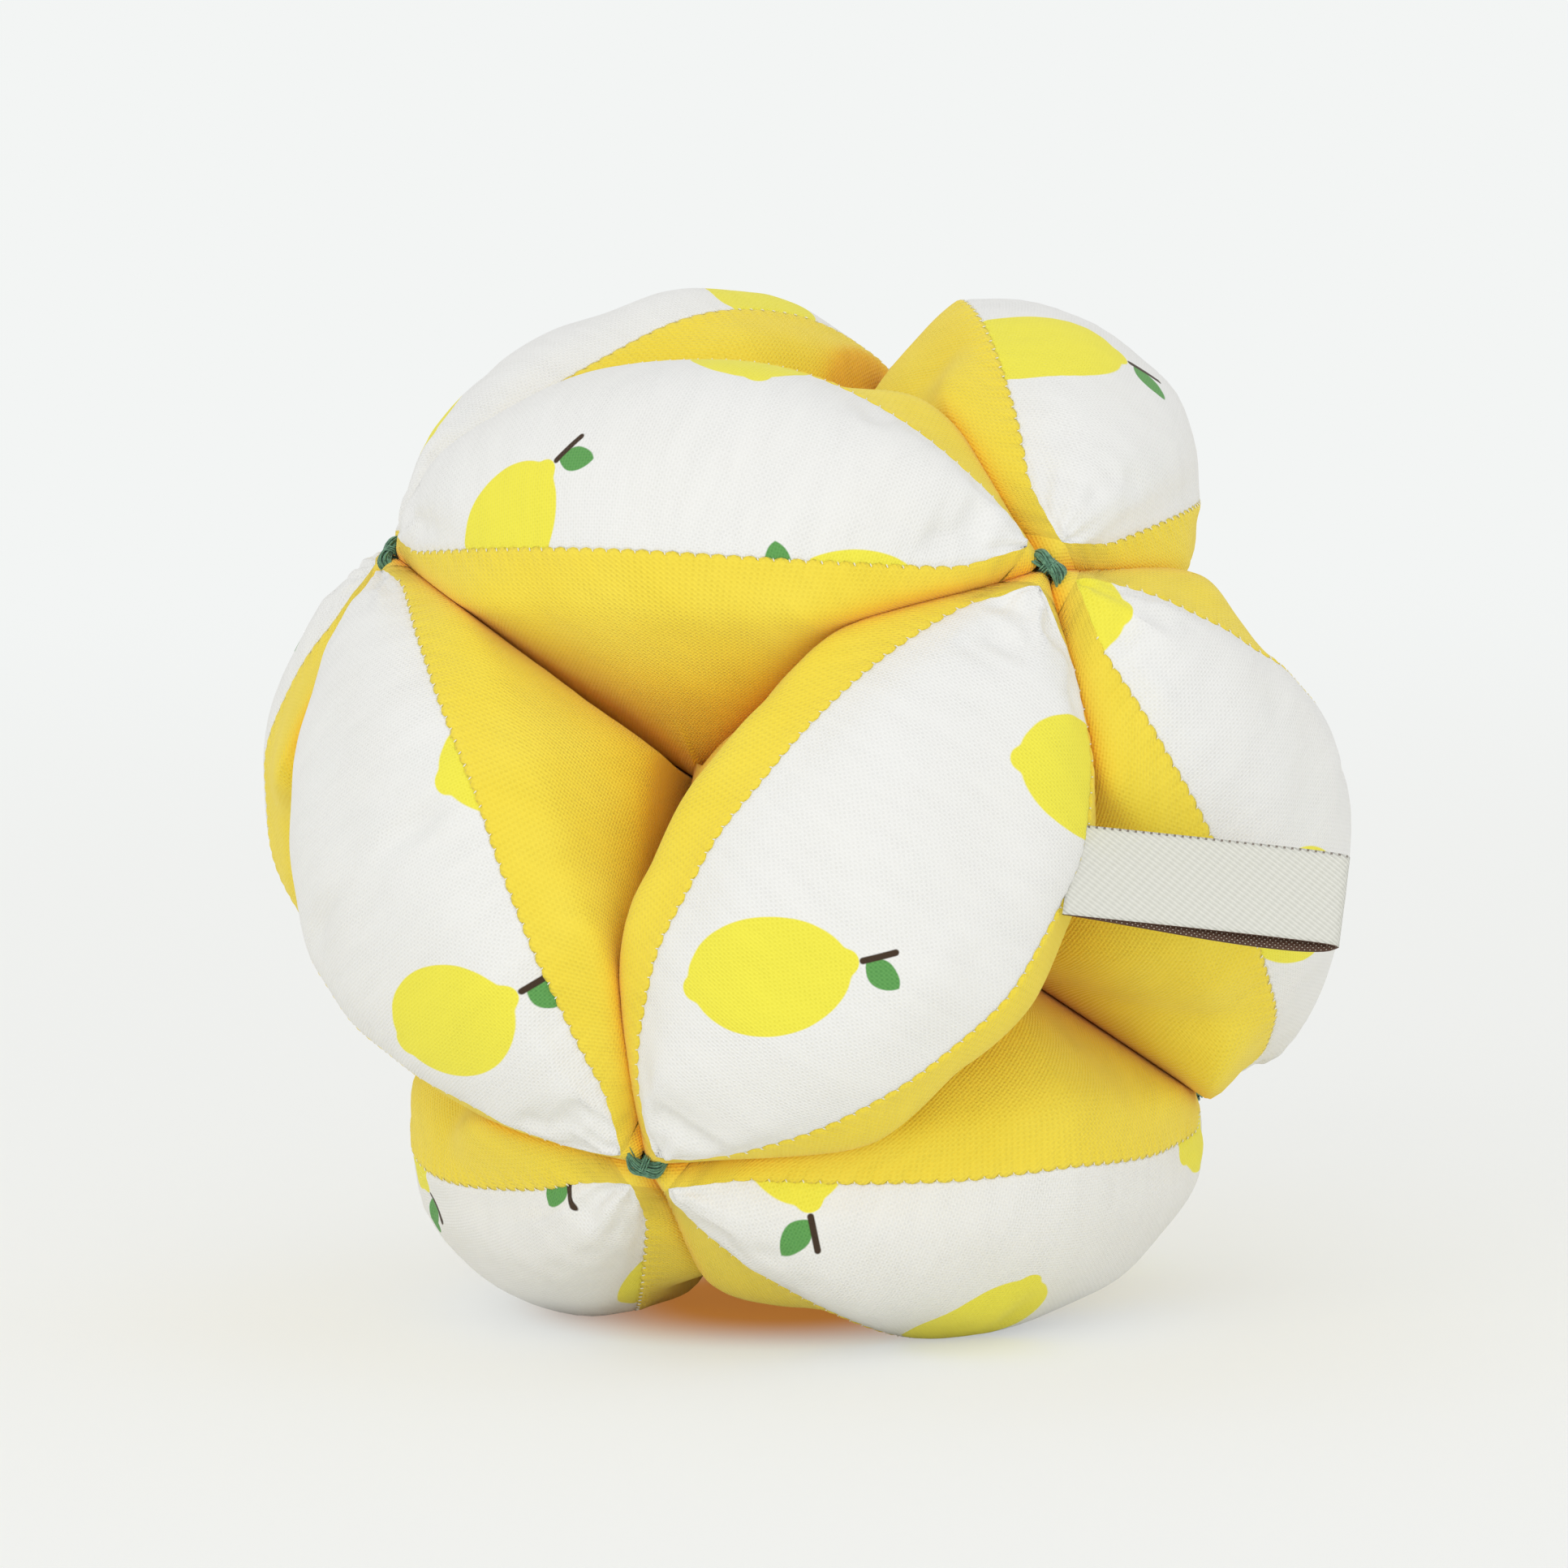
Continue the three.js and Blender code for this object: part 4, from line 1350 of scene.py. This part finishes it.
def addLabel():
    foot, run, face, side = labelFrame()
    steps, fold, bend = label["steps"], label["foldHalf"], label["foldShare"]
    straight = label["length"] - fold
    path = []
    for index in range(steps + 1):
        t = index / steps * 2 - 1
        # t from -1 at one sewn end, over the fold at 0, to 1 at the other
        share = min(1, (1 - abs(t)) / (1 - bend))
        lens = (share ** 1.4) * ((1 - share) ** 0.5) * 2.05
        half = fold * share + label["opening"] / 2 * lens
        if abs(t) < bend:
            turn = t / bend * math.pi / 2
            path.append((straight + fold * math.cos(turn), math.sin(turn) * fold, 0.0))
        else:
            drop = label["drop"] * lens if t > 0 else 0.0
            path.append((straight * share, math.copysign(half, t), drop))
    bm = bmesh.new()
    bmesh.ops.create_grid(bm, x_segments=steps, y_segments=label["rows"], size=1.0)
    maps = bm.loops.layers.uv.new("cloth")
    length = 2 * label["length"]
    spots = {}
    for vert in bm.verts:
        index = round((vert.co.x + 1) / 2 * steps)
        wide = vert.co.y * label["width"] / 2
        spots[vert] = ((index / steps - 0.5) * length, wide)
        x, y, z = path[index]
        vert.co = foot + run * x - face * y + side * (wide + z)
    for loopFace in bm.faces:
        for corner in loopFace.loops:
            corner[maps].uv = spots[corner.vert]
    bmesh.ops.reverse_faces(bm, faces=bm.faces)
    piece = addPiece("label_ribbon", bm, satinMaterial(), reverseMaterial())
    wall = giveThickness(piece, label["ribbon"], 0)
    wall.material_offset = 1
    wall.material_offset_rim = 1
    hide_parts("label")
    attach(piece, "label")


addLabel()
print("label folded")


# Floor, lights

floor = {
    "near": srgb(248, 248, 244),
    # painted warm light and a painted glow under the ball, at a fixed place on the floor
    "paintedWarmLight": srgb(253, 196, 98),
    "paintedGlow": srgb(213, 137, 65),
    "paintedLightPlace": (-0.002, 0.0, 0.0),
    "paintedLightFrom": 0.032,
    "paintedLightTo": 0.012,
    "far": srgb(243, 245, 244),
    "fadeFrom": 0.1,
    "fadeTo": 0.9,
    "veil": 0.5,
    "finish": {"Roughness": 0.9, "Specular IOR Level": 0.1},
}


def rampNode(tree, value, low, high, kind):
    ramp = tree.nodes.new("ShaderNodeMapRange")
    ramp.interpolation_type = kind
    ramp.inputs["From Min"].default_value = low
    ramp.inputs["From Max"].default_value = high
    tree.links.new(value, ramp.inputs[0])
    return ramp.outputs[0]


def addFloor():
    bm = bmesh.new()
    bmesh.ops.create_grid(bm, x_segments=40, y_segments=40, size=8.0)
    piece = addPiece("floor", bm)
    material, tree = newMaterial("floor_paper")
    place = objectPlace(tree)
    apart = tree.nodes.new("ShaderNodeSeparateXYZ")
    tree.links.new(place, apart.inputs[0])
    far = rampNode(tree, apart.outputs[1], floor["fadeFrom"], floor["fadeTo"], "SMOOTHERSTEP")
    # painted warm light: the paper is tinted close under the ball, standing for light through the
    # yellow cloth
    gap = tree.nodes.new("ShaderNodeVectorMath")
    gap.operation = "DISTANCE"
    gap.inputs[1].default_value = floor["paintedLightPlace"]
    tree.links.new(place, gap.inputs[0])
    paintedWarmLight = rampNode(tree, gap.outputs["Value"], floor["paintedLightFrom"], floor["paintedLightTo"], "SMOOTHSTEP")
    finishMaterial(material, floor, mixColour(tree, paintedWarmLight, floor["near"], floor["paintedWarmLight"]))
    # the camera and glossy things see the backdrop's plain colour over the paper, part of it
    # near and all of it far off, and a painted warm glow under the ball
    backdrop = tree.nodes.new("ShaderNodeEmission")
    tree.links.new(mixColour(tree, paintedWarmLight, floor["far"], floor["paintedGlow"]), backdrop.inputs[0])
    ray = tree.nodes.new("ShaderNodeLightPath")
    seen = mathNode(tree, "MAXIMUM", ray.outputs["Is Camera Ray"], ray.outputs["Is Glossy Ray"])
    seen = mathNode(tree, "MAXIMUM", seen, ray.outputs["Is Transmission Ray"])
    share = mathNode(tree, "MULTIPLY_ADD", far, 1 - floor["veil"], floor["veil"])
    both = tree.nodes.new("ShaderNodeMixShader")
    paper = tree.nodes["Principled BSDF"].outputs[0]
    for index, source in enumerate((times(tree, seen, share), paper, backdrop.outputs[0])):
        tree.links.new(source, both.inputs[index])
    tree.links.new(both.outputs[0], tree.nodes["Material Output"].inputs[0])
    piece.data.materials.append(material)


# the white sky's strength, and each lamp's place, size and power
lights = {
    "sky": 0.84,
    "aim": (0, 0, 0.05),
    "lamps": {
        "window": ((-1.0, -1.5, 0.9), 1.6, 5.0),
        "reflector": ((0.9, -1.5, 0.25), 1.2, 3.0),
        "fill": ((-0.1, -2.2, 0.3), 1.4, 4.5),
    },
}


def lightScene():
    world = bpy.data.worlds.new("studio")
    world.use_nodes = True
    background = world.node_tree.nodes["Background"]
    background.inputs[0].default_value = (1.0, 1.0, 1.0, 1)
    background.inputs[1].default_value = lights["sky"]
    bpy.context.scene.world = world
    for name, (place, size, power) in lights["lamps"].items():
        lamp = bpy.data.lights.new(name, "AREA")
        lamp.shape = "DISK"
        lamp.size = size
        lamp.energy = power
        holder = bpy.data.objects.new(name, lamp)
        holder.location = place
        way = Vector(lights["aim"]) - Vector(place)
        holder.rotation_euler = way.to_track_quat("-Z", "Y").to_euler()
        bpy.context.collection.objects.link(holder)


addFloor()
lightScene()
bpy.context.scene.view_settings.view_transform = "Standard"
print("floor and lights set")
